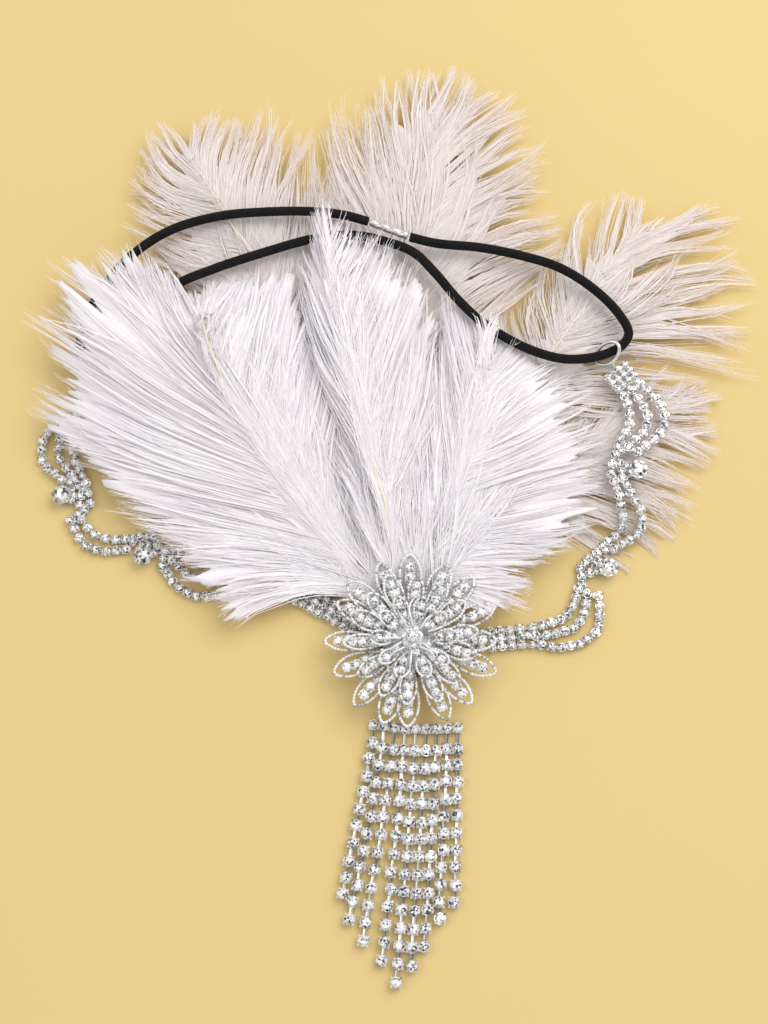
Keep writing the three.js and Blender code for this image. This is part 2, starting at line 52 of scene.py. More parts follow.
def catmull(points, per=16):
    """Points of the centripetal curve through a table's points."""
    p = np.array(points, float)
    ext = np.vstack([2 * p[0] - p[1], p, 2 * p[-1] - p[-2]])
    out = []
    t = np.linspace(0, 1, per, endpoint=False)[:, None]
    for i in range(1, len(ext) - 2):
        p0, p1, p2, p3 = ext[i - 1:i + 3]
        d0, d1, d2 = (max(np.linalg.norm(b - a) ** 0.5, 1e-4) for a, b in ((p0, p1), (p1, p2), (p2, p3)))
        t1 = ((p1 - p0) / d0 - (p2 - p0) / (d0 + d1) + (p2 - p1) / d1) * d1
        t2 = ((p2 - p1) / d1 - (p3 - p1) / (d1 + d2) + (p3 - p2) / d2) * d1
        out.append(p1 + t1 * t + (-3 * p1 + 3 * p2 - 2 * t1 - t2) * t ** 2 + (2 * p1 - 2 * p2 + t1 + t2) * t ** 3)
    out.append(p[-1:])
    return np.vstack(out)


def arc(points):
    return np.r_[0, np.cumsum(np.linalg.norm(np.diff(points, axis=0), axis=1))]


def along(points, at):
    d = arc(points)
    return np.stack([np.interp(at, d, points[:, k]) for k in range(points.shape[1])], -1)


def even(points, n):
    return along(points, np.linspace(0, arc(points)[-1], n))


class Soup:
    """Faces of one joined piece: material, smoothness and tone are kept for each face; the tone carries painted
    reflections on stones and metal and a random tint on feathers.
    """

    def __init__(self):
        self.v, self.f, self.mat, self.smooth, self.tone, self.n = [], [], [], [], [], 0

    def add(self, v, faces, mat=0, smooth=False, tone=0.5):
        faces = np.asarray(faces)
        if len(faces) == 0:
            return
        self.f.append(faces + self.n)
        k = len(faces)
        self.mat.append(np.broadcast_to(mat, k))
        self.smooth.append(np.broadcast_to(smooth, k))
        self.tone.append(np.broadcast_to(tone, k).astype(float))
        if v is not None:
            self.v.append(np.asarray(v, float).reshape(-1, 3))

    def close(self):
        self.n = sum(len(x) for x in self.v)

    def put(self, v, groups, mat=0, smooth=False, tone=0.5):
        """Adds one set of points with several groups of faces (3, 4 or more corners)."""
        v = np.asarray(v, float).reshape(-1, 3)
        for faces in groups:
            self.add(None, faces, mat, smooth, tone)
        self.v.append(v)
        self.close()

    def build(self, name, materials, replaces=(), slot=None, uv=None):
        v = np.vstack(self.v) * MM
        v[:, 2] = np.maximum(v[:, 2], 0.0)
        faces = [row for block in self.f for row in block.tolist()]
        mesh = bpy.data.meshes.new(name)
        mesh.from_pydata(v.tolist(), [], faces)
        mesh.polygons.foreach_set("material_index", np.concatenate(self.mat).astype(np.int32))
        mesh.polygons.foreach_set("use_smooth", np.concatenate(self.smooth).astype(bool))
        tone = mesh.attributes.new("tone", "FLOAT", "FACE")
        tone.data.foreach_set("value", np.concatenate(self.tone).astype(np.float32))
        for m in materials:
            mesh.materials.append(m)
        mesh.update()
        obj = bpy.data.objects.new(name, mesh)
        bpy.context.scene.collection.objects.link(obj)
        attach(obj, "root")
        if replaces:
            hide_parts(*replaces)
        return obj


def tube_faces(n, m, sides):
    base = (np.arange(n)[:, None, None] * m + np.arange(m - 1)[None, :, None]) * sides
    j = np.arange(sides)[None, None, :]
    a = base + j
    b = base + (j + 1) % sides
    quads = np.stack([a, a + sides, b + sides, b], -1).reshape(-1, 4)
    first = (np.arange(n) * m * sides)[:, None] + np.arange(sides)[None, :]
    last = first + (m - 1) * sides
    return quads, first, last[:, ::-1]


def tubes(paths, radius, sides=3, flat=1.0, turn=0.0):
    """Closed tapered tubes along many paths (n, m, 3) with radius (n, m)."""
    paths = np.asarray(paths, float)
    n, m, _ = paths.shape
    t = unit(np.gradient(paths, axis=1))
    side = unit(np.cross(t, [0.0, 0.0, 1.0]))
    flatwise = np.abs(t[..., 2]) > 0.995
    side[flatwise] = [1.0, 0.0, 0.0]
    top = np.cross(side, t)
    a = 2 * np.pi * np.arange(sides) / sides + math.pi / 2 + turn
    r = np.broadcast_to(radius, (n, m))[:, :, None, None]
    v = paths[:, :, None, :] + r * (np.cos(a)[:, None] * side[:, :, None, :] + flat * np.sin(a)[:, None] * top[:, :, None, :])
    return v.reshape(-1, 3), tube_faces(n, m, sides)


def add_tubes(soup, paths, radius, sides=3, mat=0, smooth=True, tone=0.5, flat=1.0):
    v, groups = tubes(paths, radius, sides, flat)
    n, m = np.asarray(paths).shape[:2]
    tone = np.broadcast_to(tone, n)
    quads, first, last = groups
    soup.add(None, quads, mat, smooth, np.repeat(tone, (m - 1) * sides))
    soup.add(None, first, mat, False, tone)
    soup.add(None, last, mat, False, tone)
    soup.v.append(v)
    soup.close()


def lathe(profile, sides):
    """Closed body of revolution from a profile of (radius, height) between two caps."""
    p = np.array(profile, float)
    a = 2 * np.pi * np.arange(sides) / sides
    v = np.stack([p[:, :1] * np.cos(a), p[:, :1] * np.sin(a), np.repeat(p[:, 1:], sides, 1)], -1).reshape(-1, 3)
    i = np.arange(len(p) - 1)[:, None] * sides
    j = np.arange(sides)[None, :]
    q = np.stack([i + j, i + (j + 1) % sides, i + sides + (j + 1) % sides, i + sides + j], -1).reshape(-1, 4)
    bottom = np.arange(sides)[None, ::-1]
    top = (len(p) - 1) * sides + np.arange(sides)[None, :]
    return v, [q, bottom, top]


# ---------------------------------------------------------------- materials
class Shader:
    def __init__(self, name):
        self.mat = bpy.data.materials.new(name)
        self.mat.use_nodes = True
        self.nt = self.mat.node_tree
        self.nt.nodes.clear()
        self.out = self.nt.nodes.new("ShaderNodeOutputMaterial")
        self.bsdf = self.nt.nodes.new("ShaderNodeBsdfPrincipled")
        self.link(self.bsdf, "BSDF", self.out, "Surface")

    def node(self, kind, **values):
        n = self.nt.nodes.new(kind)
        for k, v in values.items():
            if hasattr(n, k):
                setattr(n, k, v)
            else:
                n.inputs[k.replace("_", " ")].default_value = v
        return n

    def link(self, a, out, b, inp):
        self.nt.links.new(a.outputs[out], b.inputs[inp])

    def set(self, **values):
        for k, v in values.items():
            self.bsdf.inputs[k.replace("_", " ")].default_value = v

    def coords(self):
        return self.node("ShaderNodeTexCoord")

    def noise(self, scale, detail=2.0, source=None, stretch=None):
        c = source or (self.coords(), "Object")
        if stretch:
            m = self.node("ShaderNodeMapping")
            m.inputs["Scale"].default_value = stretch
            self.link(c[0], c[1], m, "Vector")
            c = (m, "Vector")
        n = self.node("ShaderNodeTexNoise")
        n.inputs["Scale"].default_value = scale
        n.inputs["Detail"].default_value = detail
        self.link(c[0], c[1], n, "Vector")
        return n

    def ramp(self, source, out, stops):
        r = self.node("ShaderNodeValToRGB")
        while len(r.color_ramp.elements) < len(stops):
            r.color_ramp.elements.new(0.5)
        for e, (at, colour) in zip(r.color_ramp.elements, stops):
            e.position = at
            e.color = (*colour, 1)
        self.link(source, out, r, "Fac")
        return r

    def mix(self, a, b, factor, mode="MIX"):
        m = self.node("ShaderNodeMix", data_type="RGBA", blend_type=mode)
        for sock, val in ((0, factor), (6, a), (7, b)):
            if isinstance(val, tuple) and hasattr(val[0], "outputs"):
                self.nt.links.new(val[0].outputs[val[1]], m.inputs[sock])
            elif isinstance(val, tuple):
                m.inputs[sock].default_value = (*val, 1)
            else:
                m.inputs[sock].default_value = val
        return (m, 2)

    def colour(self, source):
        self.nt.links.new(source[0].outputs[source[1]], self.bsdf.inputs["Base Color"])

    def bump(self, source, out, strength, distance):
        b = self.node("ShaderNodeBump")
        b.inputs["Strength"].default_value = strength
        b.inputs["Distance"].default_value = distance
        self.link(source, out, b, "Height")
        self.link(b, "Normal", self.bsdf, "Normal")


def silver(name, light=0.93, rough=(0.14, 0.3), dark=0.2, metal=0.82):
    s = Shader(name)
    s.set(Metallic=metal)
    n = s.noise(900, 3)
    tint = s.ramp(n, "Fac", [(0.3, (light * 0.86, light * 0.86, light * 0.88)), (0.62, (light, light, light))])
    worn = s.noise(160, 4)
    patch = s.ramp(worn, "Fac", [(0.45, (1, 1, 1)), (0.75, (0.8, 0.79, 0.77))])
    # Painted reflections: the tone attribute darkens some faces toward the dark value and leaves others white, as dark
    # and bright reflections on the metal.
    a = s.node("ShaderNodeAttribute", attribute_name="tone")
    painted_glint = s.ramp(a, "Fac", [(0.0, (dark, dark, dark * 1.04)), (0.4, (0.86, 0.86, 0.87)), (1.0, (1, 1, 1))])
    both = s.mix((tint, "Color"), (patch, "Color"), 1.0, "MULTIPLY")
    s.colour(s.mix(both, (painted_glint, "Color"), 1.0, "MULTIPLY"))
    r = s.node("ShaderNodeMapRange")
    r.inputs["To Min"].default_value, r.inputs["To Max"].default_value = rough
    s.link(worn, "Fac", r, "Value")
    s.link(r, "Result", s.bsdf, "Roughness")
    s.bump(n, "Fac", 0.12, 0.0001)
    return s.mat


def crystal(name, lift=1.0):
    s = Shader(name)
    grey = lambda *c: tuple(min(1.0, v * lift + 0.04 * (lift - 1.0)) for v in c)
    s.set(Metallic=0.2, Roughness=0.16, Coat_Weight=0.2, Coat_Roughness=0.08)
    # Painted reflections of a foiled stone: the tone attribute gives black, grey and white facets; lift makes these
    # painted reflections brighter.
    a = s.node("ShaderNodeAttribute", attribute_name="tone")
    r = s.ramp(a, "Fac", [
        (0.0, grey(0.02, 0.022, 0.028)), (0.3, grey(0.16, 0.165, 0.18)), (0.5, grey(0.5, 0.51, 0.53)),
        (0.7, grey(0.9, 0.91, 0.92)), (1.0, (1, 1, 1)),
    ])
    # Painted fire: faint blue and warm tints for the coloured flashes of light in a stone.
    n = s.noise(700, 1)
    painted_fire = s.ramp(n, "Fac", [(0.35, (0.93, 0.96, 1.0)), (0.5, (1, 1, 1)), (0.68, (1.0, 0.97, 0.93))])
    s.colour(s.mix((r, "Color"), (painted_fire, "Color"), 1.0, "MULTIPLY"))
    return s.mat


def feather(name, clear, shade, see_through=0.06):
    s = Shader(name)
    s.set(Roughness=0.72, Sheen_Weight=0.35, Sheen_Roughness=0.5)
    s.bsdf.inputs["Specular IOR Level"].default_value = 0.25
    a = s.node("ShaderNodeAttribute", attribute_name="tone")
    lock = s.ramp(a, "Fac", [(0.0, shade), (0.45, clear), (1.0, tuple(min(1, c * 1.04) for c in clear))])
    n = s.noise(28, 3)
    blush = s.ramp(n, "Fac", [(0.35, (1, 0.985, 0.975)), (0.6, (1, 1, 1))])
    s.colour(s.mix((lock, "Color"), (blush, "Color"), 1.0, "MULTIPLY"))
    fine = s.noise(2600, 2)
    s.bump(fine, "Fac", 0.15, 0.00005)
    through = s.node("ShaderNodeBsdfTranslucent")
    s.nt.links.new(s.bsdf.inputs["Base Color"].links[0].from_socket, through.inputs["Color"])
    both = s.node("ShaderNodeMixShader")
    both.inputs[0].default_value = see_through
    s.link(s.bsdf, "BSDF", both, 1)
    s.link(through, "BSDF", both, 2)
    s.link(both, "Shader", s.out, "Surface")
    return s.mat


def quill_material(name):
    s = Shader(name)
    s.set(Roughness=0.42)
    n = s.noise(60, 3, stretch=(1, 0.2, 1))
    r = s.ramp(n, "Fac", [(0.3, (0.86, 0.78, 0.55)), (0.7, (0.95, 0.9, 0.72))])
    s.colour((r, "Color"))
    s.bump(s.noise(1500, 2, stretch=(1, 0.1, 1)), "Fac", 0.2, 0.0001)
    return s.mat


def braid_material(name):
    """Round braided elastic: two sets of yarns that cross, from the tube's own lengthwise and roundwise place."""
    s = Shader(name)
    s.set(Roughness=0.85, Sheen_Weight=0.04, Sheen_Roughness=0.4)
    s.bsdf.inputs["Specular IOR Level"].default_value = 0.18
    uv = s.node("ShaderNodeUVMap", uv_map="UVMap")
    sep = s.node("ShaderNodeSeparateXYZ")
    s.link(uv, "UV", sep, "Vector")

    def yarn(sign):
        m = s.node("ShaderNodeMath", operation="MULTIPLY_ADD")
        s.link(sep, "X", m, 0)
        m.inputs[1].default_value = sign
        s.link(sep, "Y", m, 2)
        w = s.node("ShaderNodeMath", operation="SINE")
        k = s.node("ShaderNodeMath", operation="MULTIPLY")
        k.inputs[1].default_value = 2 * math.pi
        s.link(m, "Value", k, 0)
        s.link(k, "Value", w, 0)
        return w

    top = s.node("ShaderNodeMath", operation="MAXIMUM")
    s.link(yarn(1.0), "Value", top, 0)
    s.link(yarn(-1.0), "Value", top, 1)
    # Painted shade and highlight: the colour is darker in the grooves between the yarns and lighter on the yarn crests.
    r = s.ramp(top, "Value", [(0.0, (0.003, 0.003, 0.003)), (0.75, (0.009, 0.009, 0.009)), (1.0, (0.018, 0.017, 0.018))])
    fluff = s.noise(500, 3)
    tint = s.ramp(fluff, "Fac", [(0.35, (0.75, 0.75, 0.78)), (0.7, (1.25, 1.2, 1.2))])
    s.colour(s.mix((r, "Color"), (tint, "Color"), 1.0, "MULTIPLY"))
    s.bump(top, "Value", 0.6, 0.00012)
    return s.mat


def backdrop_material(name):
    s = Shader(name)
    s.set(Roughness=0.75)
    s.bsdf.inputs["Specular IOR Level"].default_value = 0.2
    n = s.noise(3.0, 3)
    r = s.ramp(n, "Fac", [(0.3, (0.735, 0.565, 0.25)), (0.7, (0.76, 0.585, 0.265))])
    s.colour((r, "Color"))
    s.bump(s.noise(900, 2), "Fac", 0.05, 0.0001)
    return s.mat


SILVER = silver("silver_plate")
SILVER_WIRE = silver("silver_wire", 0.97, (0.12, 0.24))
# The flower's stones are a brighter copy of the rhinestone material, with their painted reflections lifted (2.3 against
# 1.15); the petal wire's painted dark reflections are lighter (0.36 against 0.2).
FLOWER_CRYSTAL = crystal("rhinestone_flower", 2.3)
PETAL_WIRE = silver("silver_petal_wire", 1.0, (0.2, 0.34), 0.36, 0.3)
CRYSTAL = crystal("rhinestone_foiled", 1.15)
FEATHER_FRONT = feather("ostrich_front", (0.935, 0.905, 0.945), (0.905, 0.865, 0.885))
# The rear plumes are the same white feather as the front, painted warmer for the yellow floor light that shows through
# their thin barbs.
FEATHER_REAR = feather("ostrich_rear", (0.94, 0.87, 0.845), (0.915, 0.835, 0.795), 0.15)
QUILL = quill_material("quill_ivory")
BRAID = braid_material("elastic_braid")

# ------------------------------------------------------------------- camera
camera_data = bpy.data.cameras.new("camera")
camera_data.lens = 70
camera_data.sensor_fit = "VERTICAL"
camera_data.sensor_height = 36
camera = bpy.data.objects.new("camera", camera_data)
camera.location = (-0.0084848, -0.1172331, 0.5932390)
camera.rotation_euler = (math.radians(15), 0, 0)
bpy.context.scene.collection.objects.link(camera)
bpy.context.scene.camera = camera

# ------------------------------------------------------------------ elastic
CORD_DIAMETER = 2.9
ELASTIC_ROUTE = [
    (-0.4, 128.5, 10.4), (8, 126.6, 9.9), (22, 125.2, 9.75), (35, 122.4, 9.75), (46.7, 118.4, 9.75),
    (57, 111.4, 9.75), (64.6, 103.2, 9.75), (67.6, 96.8, 9.6), (65.6, 92.9, 9.4), (60.9, 90.2, 9.4),
    (55, 88.6, 9.5), (47.5, 88.2, 9.75), (39.5, 90.2, 9.75), (31, 94.2, 9.75), (22, 100.4, 9.75),
    (14.6, 107.8, 9.75), (7.6, 116.6, 9.75), (0.8, 123.6, 9.75), (-8, 127.3, 9.75), (-18, 129.4, 9.75),
    (-29, 128.6, 9.75), (-45, 124, 9.75), (-63, 117.6, 9.75), (-74, 112.4, 9.75), (-81.6, 105.4, 8.4),
    (-86.2, 97.6, 5.6), (-90.2, 90, 3.5), (-96.2, 86.7, 3.3), (-102, 89.4, 3.3), (-103.8, 96.2, 3.6),
    (-101.4, 104.8, 4.8), (-95.8, 114, 7.2), (-87.4, 123.2, 9.2), (-76, 131, 9.75), (-61, 135.8, 9.75),
    (-45, 137.4, 9.75), (-30, 137.4, 9.75), (-20.5, 136, 10), (-13.5, 133.8, 10.4),
]
YARNS_ROUND = 8
YARN_PITCH = 1.15  # mm of cord for each yarn crossing
cord_line = catmull(ELASTIC_ROUTE, 24)
cord_length = arc(cord_line)[-1]
cord_path = even(cord_line, 700)
CORD_SIDES = 16


def elastic():
    v, (quads, first, last) = tubes(cord_path[None], np.full((1, len(cord_path)), CORD_DIAMETER / 2), CORD_SIDES)
    mesh = bpy.data.meshes.new("elastic_cord_braided")
    mesh.from_pydata((v * MM).tolist(), [], quads.tolist() + first.tolist() + last.tolist())
    mesh.polygons.foreach_set("use_smooth", np.r_[np.ones(len(quads), bool), [False, False]])
    uv = mesh.uv_layers.new(name="UVMap")
    ring, side = quads // CORD_SIDES, quads % CORD_SIDES
    side = np.where((side == 0) & (quads[:, :1] % CORD_SIDES == CORD_SIDES - 1), CORD_SIDES, side)
    step = cord_length / (len(cord_path) - 1)
    co = np.zeros((len(mesh.loops), 2))
    co[:quads.size, 0] = (ring * step / YARN_PITCH).ravel()
    co[:quads.size, 1] = (side / CORD_SIDES * YARNS_ROUND).ravel()
    uv.data.foreach_set("uv", co.ravel())
    mesh.materials.append(BRAID)
    mesh.update()
    obj = bpy.data.objects.new("elastic_cord_braided", mesh)
    bpy.context.scene.collection.objects.link(obj)
    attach(obj, "root")
    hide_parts("elastic_cord")
    return obj


elastic_obj = elastic()


# flattened sleeve over the two ends, pressed in three places
def crimp():
    a, b = np.array([-12.8, 133.45, 10.4]), np.array([-1.1, 128.75, 10.4])
    n, sides = 41, 20
    u = np.linspace(0, 1, n)
    centre = a + (b - a) * u[:, None]
    t = unit(b - a)
    side = np.array([t[1], -t[0], 0])
    ends = np.minimum(1, np.minimum(u, 1 - u) / 0.03) ** 0.5 * 0.1 + 0.9
    press = sum(np.exp(-((u - c) / 0.05) ** 2) for c in (0.2, 0.5, 0.8))
    half_w = 1.1 * ends * (1 + 0.1 * press)
    half_h = 1.6 * ends * (1 - 0.3 * press)
    ang = 2 * np.pi * np.arange(sides) / sides
    c, s = np.cos(ang), np.sin(ang)
    sq = lambda x: np.sign(x) * np.abs(x) ** 0.8
    v = centre[:, None] + half_w[:, None, None] * sq(c)[:, None] * side + half_h[:, None, None] * sq(s)[:, None] * np.array([0, 0, 1.0])
    soup = Soup()
    quads, first, last = tube_faces(1, n, sides)
    soup.add(None, quads, 0, True, 0.5)
    soup.add(None, first, 0, False, 0.5)
    soup.add(None, last, 0, False, 0.5)
    soup.v.append(v.reshape(-1, 3))
    soup.close()
    return soup.build("crimp_sleeve_pressed", [SILVER], ["crimp_sleeve"], "silver_metal")


crimp_obj = crimp()

# ------------------------------------------------------------------- stones
STONE_HEIGHT = 2.3


def stone_template(r, cup, h, crown=0.8, prongs=4, cup_sides=10, cup_floor=0.0):
    """One claw-set rhinestone: brilliant crown, cup and claws. Groups of (points, faces, material, facet)."""
    a8 = np.pi / 4 * np.arange(8)
    a16 = np.pi / 8 * np.arange(16)
    ring = lambda rad, ang, z: np.stack([rad * np.cos(ang), rad * np.sin(ang), np.full(len(ang), z)], 1)
    girdle = h - crown
    v = np.vstack([[[0, 0, h]], ring(0.56 * r, a8, h), ring(0.84 * r, a8 + np.pi / 8, h - crown * 0.36), ring(r, a16, girdle), ring(r * 0.97, a16, girdle - 0.25)])
    T, S, G, U = 1, 9, 17, 33
    tri, quad = [], []
    for i in range(8):
        n = (i + 1) % 8
        tri += [(0, T + i, T + n), (T + i, S + i, T + n)]
        tri += [(S + i, G + 2 * i, G + 2 * i + 1), (S + i, G + 2 * i + 1, G + (2 * i + 2) % 16)]
        quad.append((T + i, S + (i + 7) % 8, G + 2 * i, S + i))
    for j in range(16):
        quad.append((G + j, U + j, U + (j + 1) % 16, G + (j + 1) % 16))
    under = [tuple(U + j for j in reversed(range(16)))]
    parts = [(v, [np.array(tri), np.array(quad), np.array(under)], 1, True)]
    lip = girdle + 0.04
    profile = [
        (cup * 0.62, cup_floor), (cup * 0.8, cup_floor + 0.25 * lip), (cup, lip - 0.45), (cup * 1.0, lip),
        (r * 1.0 + 0.01, lip), (r * 0.97, lip - 0.3),
    ]
    cv, cf = lathe(profile, cup_sides)
    parts.append((cv, cf, 0, False))
    for k in range(prongs):
        a = 2 * np.pi * (k + 0.5) / prongs
        e = np.array([math.cos(a), math.sin(a), 0])
        w = np.array([-math.sin(a), math.cos(a), 0])
        half = 0.2 * r
        foot, knee, tip = (cup * 0.98, lip - 0.7), (cup * 1.08, lip + 0.12), (r * 0.72, h - crown * 0.22)
        box = []
        for (rad, z), hw, th in ((foot, half, 0.14), (knee, half, 0.16), (tip, half * 0.5, 0.1)):
            for sx, sz in ((-1, -1), (1, -1), (1, 1), (-1, 1)):
                box.append(e * (rad + sz * th * 0.9) + w * sx * hw + np.array([0, 0, z + (sz * th if z > lip + 0.3 else 0)]))
        f = [(0, 1, 5, 4), (1, 2, 6, 5), (2, 3, 7, 6), (3, 0, 4, 7), (4, 5, 9, 8), (5, 6, 10, 9), (6, 7, 11, 10), (7, 4, 8, 11), (3, 2, 1, 0), (8, 9, 10, 11)]
        parts.append((np.array(box), [np.array(f)], 0, False))
    return parts


def painted_facet_reflections(shape):
    """Painted reflections: bright, grey and black facets in the shares that a foiled stone shows."""
    kind = rng.random(shape)
    low, mid, high = rng.uniform(0.0, 0.28, shape), rng.uniform(0.4, 0.65, shape), rng.uniform(0.72, 1.0, shape)
    return np.where(kind < 0.24, low, np.where(kind < 0.46, mid, high))


def place(soup, template, origin, x_axis, z_axis, size=1.0, wobble=0.05):
    """Copies of a template with their own frames; each facet of each copy gets its own tone, a painted reflection:
    bright, grey and dark faces on stones and metal.
    """
    o = np.asarray(origin, float).reshape(-1, 3)
    n = len(o)
    z = unit(np.broadcast_to(z_axis, (n, 3)) + rng.normal(0, wobble, (n, 3)) * [1, 1, 0])
    x = np.broadcast_to(x_axis, (n, 3)).astype(float)
    x = unit(x - (x * z).sum(1, keepdims=True) * z)
    y = np.cross(z, x)
    k = np.broadcast_to(size, n)[:, None, None]
    for v, groups, mat, facet in template:
        w = o[:, None] + k * (v[None, :, :1] * x[:, None] + v[None, :, 1:2] * y[:, None] + v[None, :, 2:] * z[:, None])
        off = (np.arange(n) * len(v))[:, None, None]
        for g in groups:
            f = (g[None] + off).reshape(-1, g.shape[1])
            # Stone facets and metal faces get random tones here: painted reflections.
            soup.add(None, f, mat, False, painted_facet_reflections(len(f)) if facet else rng.choice([0.15, 0.5, 0.75, 1.0], len(f), p=[0.2, 0.3, 0.3, 0.2]))
        soup.v.append(w.reshape(-1, 3))
        soup.close()


STONE = stone_template(1.28, 1.5, STONE_HEIGHT, cup_sides=8)
SMALL_STONE = stone_template(0.98, 1.1, STONE_HEIGHT, 0.65, cup_sides=8)
LARGE_STONE = stone_template(2.35, 2.8, 4.6, 1.35, 8, 20)
UP = np.array([0.0, 0.0, 1.0])


def run_frames(points, at):
    """Places, lengthwise directions and upward directions at arc lengths of a curve."""
    p = along(points, at)
    d = 0.3
    t = unit(along(points, np.asarray(at) + d) - along(points, np.asarray(at) - d))
    side = unit(np.cross(UP, t))
    return p, t, np.cross(t, side), side


def link_strip(soup, points, half_width=0.38, low=0.35, high=0.7):
    """Flat metal strip that joins the cups of one run."""
    n = max(2, int(arc(points)[-1] / 2.2))
    p = even(points, n)
    p[:, 2] += (low + high) / 2
    add_tubes(soup, p[None], np.full((1, n), half_width), 4, 0, False, 0.5, (high - low) / 2 / half_width)


def stone_row(soup, points, first, last, pitch, template=None, strip=True, wobble=0.05):
    d = arc(points)[-1]
    n = max(1, int(round((d - first - last) / pitch)) + 1)
    at = np.linspace(first, d - last, n) if n > 1 else np.array([d / 2])
    p, t, z, _ = run_frames(points, at)
    place(soup, template or STONE, p, t, z, 1.0, wobble)
    if strip:
        link_strip(soup, points)
    return n


# -------------------------------------------------------------- side chains
CHAINS = {
    "right": {
        "band": {"width": 7.6, "points": [(10.6, 0.6, 0), (22, 1.2, 0), (34.2, 2.5, 0)]},
        "swags": [
            {"name": "swag_1",
             "ties": [[(36.5, 5.3, 0), (37.4, 2.5, 0), (39.2, -0.2, 0)], [(50.7, 17.3, 0), (53.4, 15.6, 0), (56.6, 14.9, 0)]],
             "rows": [
                 [(37, 5.3, 0), (41, 6.2, 0), (45.1, 7.6, 0), (48.2, 10.2, 0), (49.7, 13.6, 0), (50.8, 16.8, 0)],
                 [(38, 2.6, 0), (43.3, 3.2, 0), (49.6, 5.4, 0), (52.2, 9.5, 0), (53.3, 15.2, 0)],
                 [(39.6, -0.3, 0), (44, -1, 0), (51.6, 0.6, 0), (56.3, 4.6, 0), (57, 10.3, 0), (56.6, 14.6, 0)]]},
            {"name": "swag_2",
             "ties": [[(60, 31.9, 0.9), (61.7, 29.6, 0.9)], [(63.4, 45.1, 5.4), (66.8, 46.2, 5.4)]],
             "rows": [
                 [(60.2, 32, 0.9), (63.6, 34.6, 1.8), (64.8, 38, 3), (64, 42, 4.4), (63.9, 45, 5.4)],
                 [(61.8, 29.8, 0.9), (66.4, 31.9, 1.6), (70.2, 35.4, 2.6), (70.2, 40, 3.8), (66.8, 46, 5.4)]]},
            {"name": "swag_3",
             "ties": [[(64.4, 62.7, 6), (66.8, 60.4, 6), (69.4, 59, 6)], [(65.9, 77, 6), (68.4, 78.9, 6), (71, 80.8, 6)]],
             "rows": [
                 [(64.6, 62.8, 6), (66.9, 66.7, 6), (67.4, 72, 6), (66, 76.8, 6)],
                 [(67, 61, 6), (71.6, 65.4, 6), (72.8, 71, 6), (68.8, 78.4, 6)],
                 [(69.7, 59.4, 6), (76.6, 64.9, 6), (78.3, 70, 6), (76.2, 75.4, 6), (71.4, 80.4, 6)]]}],
        "clusters": [
            {"name": "1", "z": 0, "stones": [(51.6, 20.9), (51.7, 23.6), (54.2, 26.6), (54.3, 22.2), (56.6, 28.5)], "crystal": (59.9, 23.4)},
            {"name": "2", "z": 6, "stones": [(62, 49.4), (64.6, 50.4), (61.1, 51.9), (61.5, 55), (64.2, 55.2), (62.4, 58.2)], "crystal": (69.2, 52.8)}],
        "block": {"x": 65.1, "y": 83.2, "z": 6, "angle": 38.5},
        "ring": {"x": 60.9, "y": 90.2, "z": 9.4, "angle": 33},
    },
    "left": {
        "band": {"width": 7.6, "points": [(-10.8, 3.4, 0), (-17.5, 6.4, 0), (-25, 10.6, 0), (-34, 15.4, 0), (-43.2, 18.6, 0), (-52.4, 20.3, 0)]},
        "swags": [
            {"name": "swag_1",
             "ties": [[(-56, 23.3, 0), (-55, 20.2, 0), (-54.5, 17.2, 0)], [(-76.2, 24.2, 0), (-73.4, 26.2, 0), (-71.2, 28.6, 0)]],
             "rows": [
                 [(-55.8, 23.3, 0), (-61.3, 24, 0), (-65.4, 25, 0), (-71, 28.3, 0)],
                 [(-55, 20.3, 0), (-61.4, 19.8, 0), (-67.7, 21.2, 0), (-73.2, 26, 0)],
                 [(-54.5, 17.3, 0), (-60, 15.3, 0), (-65.7, 14.9, 0), (-71.3, 18, 0), (-76, 24, 0)]]},
            {"name": "swag_2",
             "ties": [[(-87.7, 32.8, 0), (-87.4, 29.6, 0)], [(-105, 38.7, 0), (-101.4, 38.9, 0)]],
             "rows": [
                 [(-87.9, 32.8, 0), (-92.2, 32.7, 0), (-97, 34, 0), (-101.2, 38.6, 0)],
                 [(-87.6, 29.6, 0), (-94.2, 29, 0), (-100.2, 31.2, 0), (-104.8, 38.4, 0)]]},
            {"name": "swag_3",
             "ties": [[(-108.3, 51.7, 0), (-105.2, 53.5, 0), (-102.6, 55.3, 0)], [(-111, 69, 0), (-108.2, 67.8, 0), (-104.8, 66.2, 0)]],
             "rows": [
                 [(-102.9, 55.2, 0), (-104.7, 59.6, 0), (-104.8, 65.9, 0)],
                 [(-105.3, 53.6, 0), (-109.2, 58.6, 0), (-109.4, 63.4, 0), (-108.3, 67.6, 0)],
                 [(-108.3, 51.9, 0), (-113.6, 56.6, 0), (-114.8, 61.6, 0), (-113.7, 66, 0), (-111, 68.8, 0)]]}],
        "clusters": [
            {"name": "1", "z": 0, "stones": [(-83.4, 33.4), (-79.2, 33.6), (-78, 30.8), (-75.6, 29.2)], "crystal": (-82, 27.2)},
            {"name": "2", "z": 0, "stones": [(-103, 50), (-100.8, 50.6), (-101.6, 46.7), (-99.4, 47.4), (-102.2, 43.6), (-98.9, 44.3), (-100.8, 42.3)], "crystal": (-107.6, 46.4)}],
        "block": {"x": -100.2, "y": 77.2, "z": 0, "angle": -30},
        "ring": {"x": -96.2, "y": 86.7, "z": 3.3, "angle": 2},
    },
}
ROW_PITCH = 3.05
BLOCK_PITCH = 2.3


def rot(points, degrees):
    a = math.radians(degrees)
    p = np.asarray(points, float)
    out = p.copy()
    out[..., 0] = p[..., 0] * math.cos(a) - p[..., 1] * math.sin(a)
    out[..., 1] = p[..., 0] * math.sin(a) + p[..., 1] * math.cos(a)
    return out


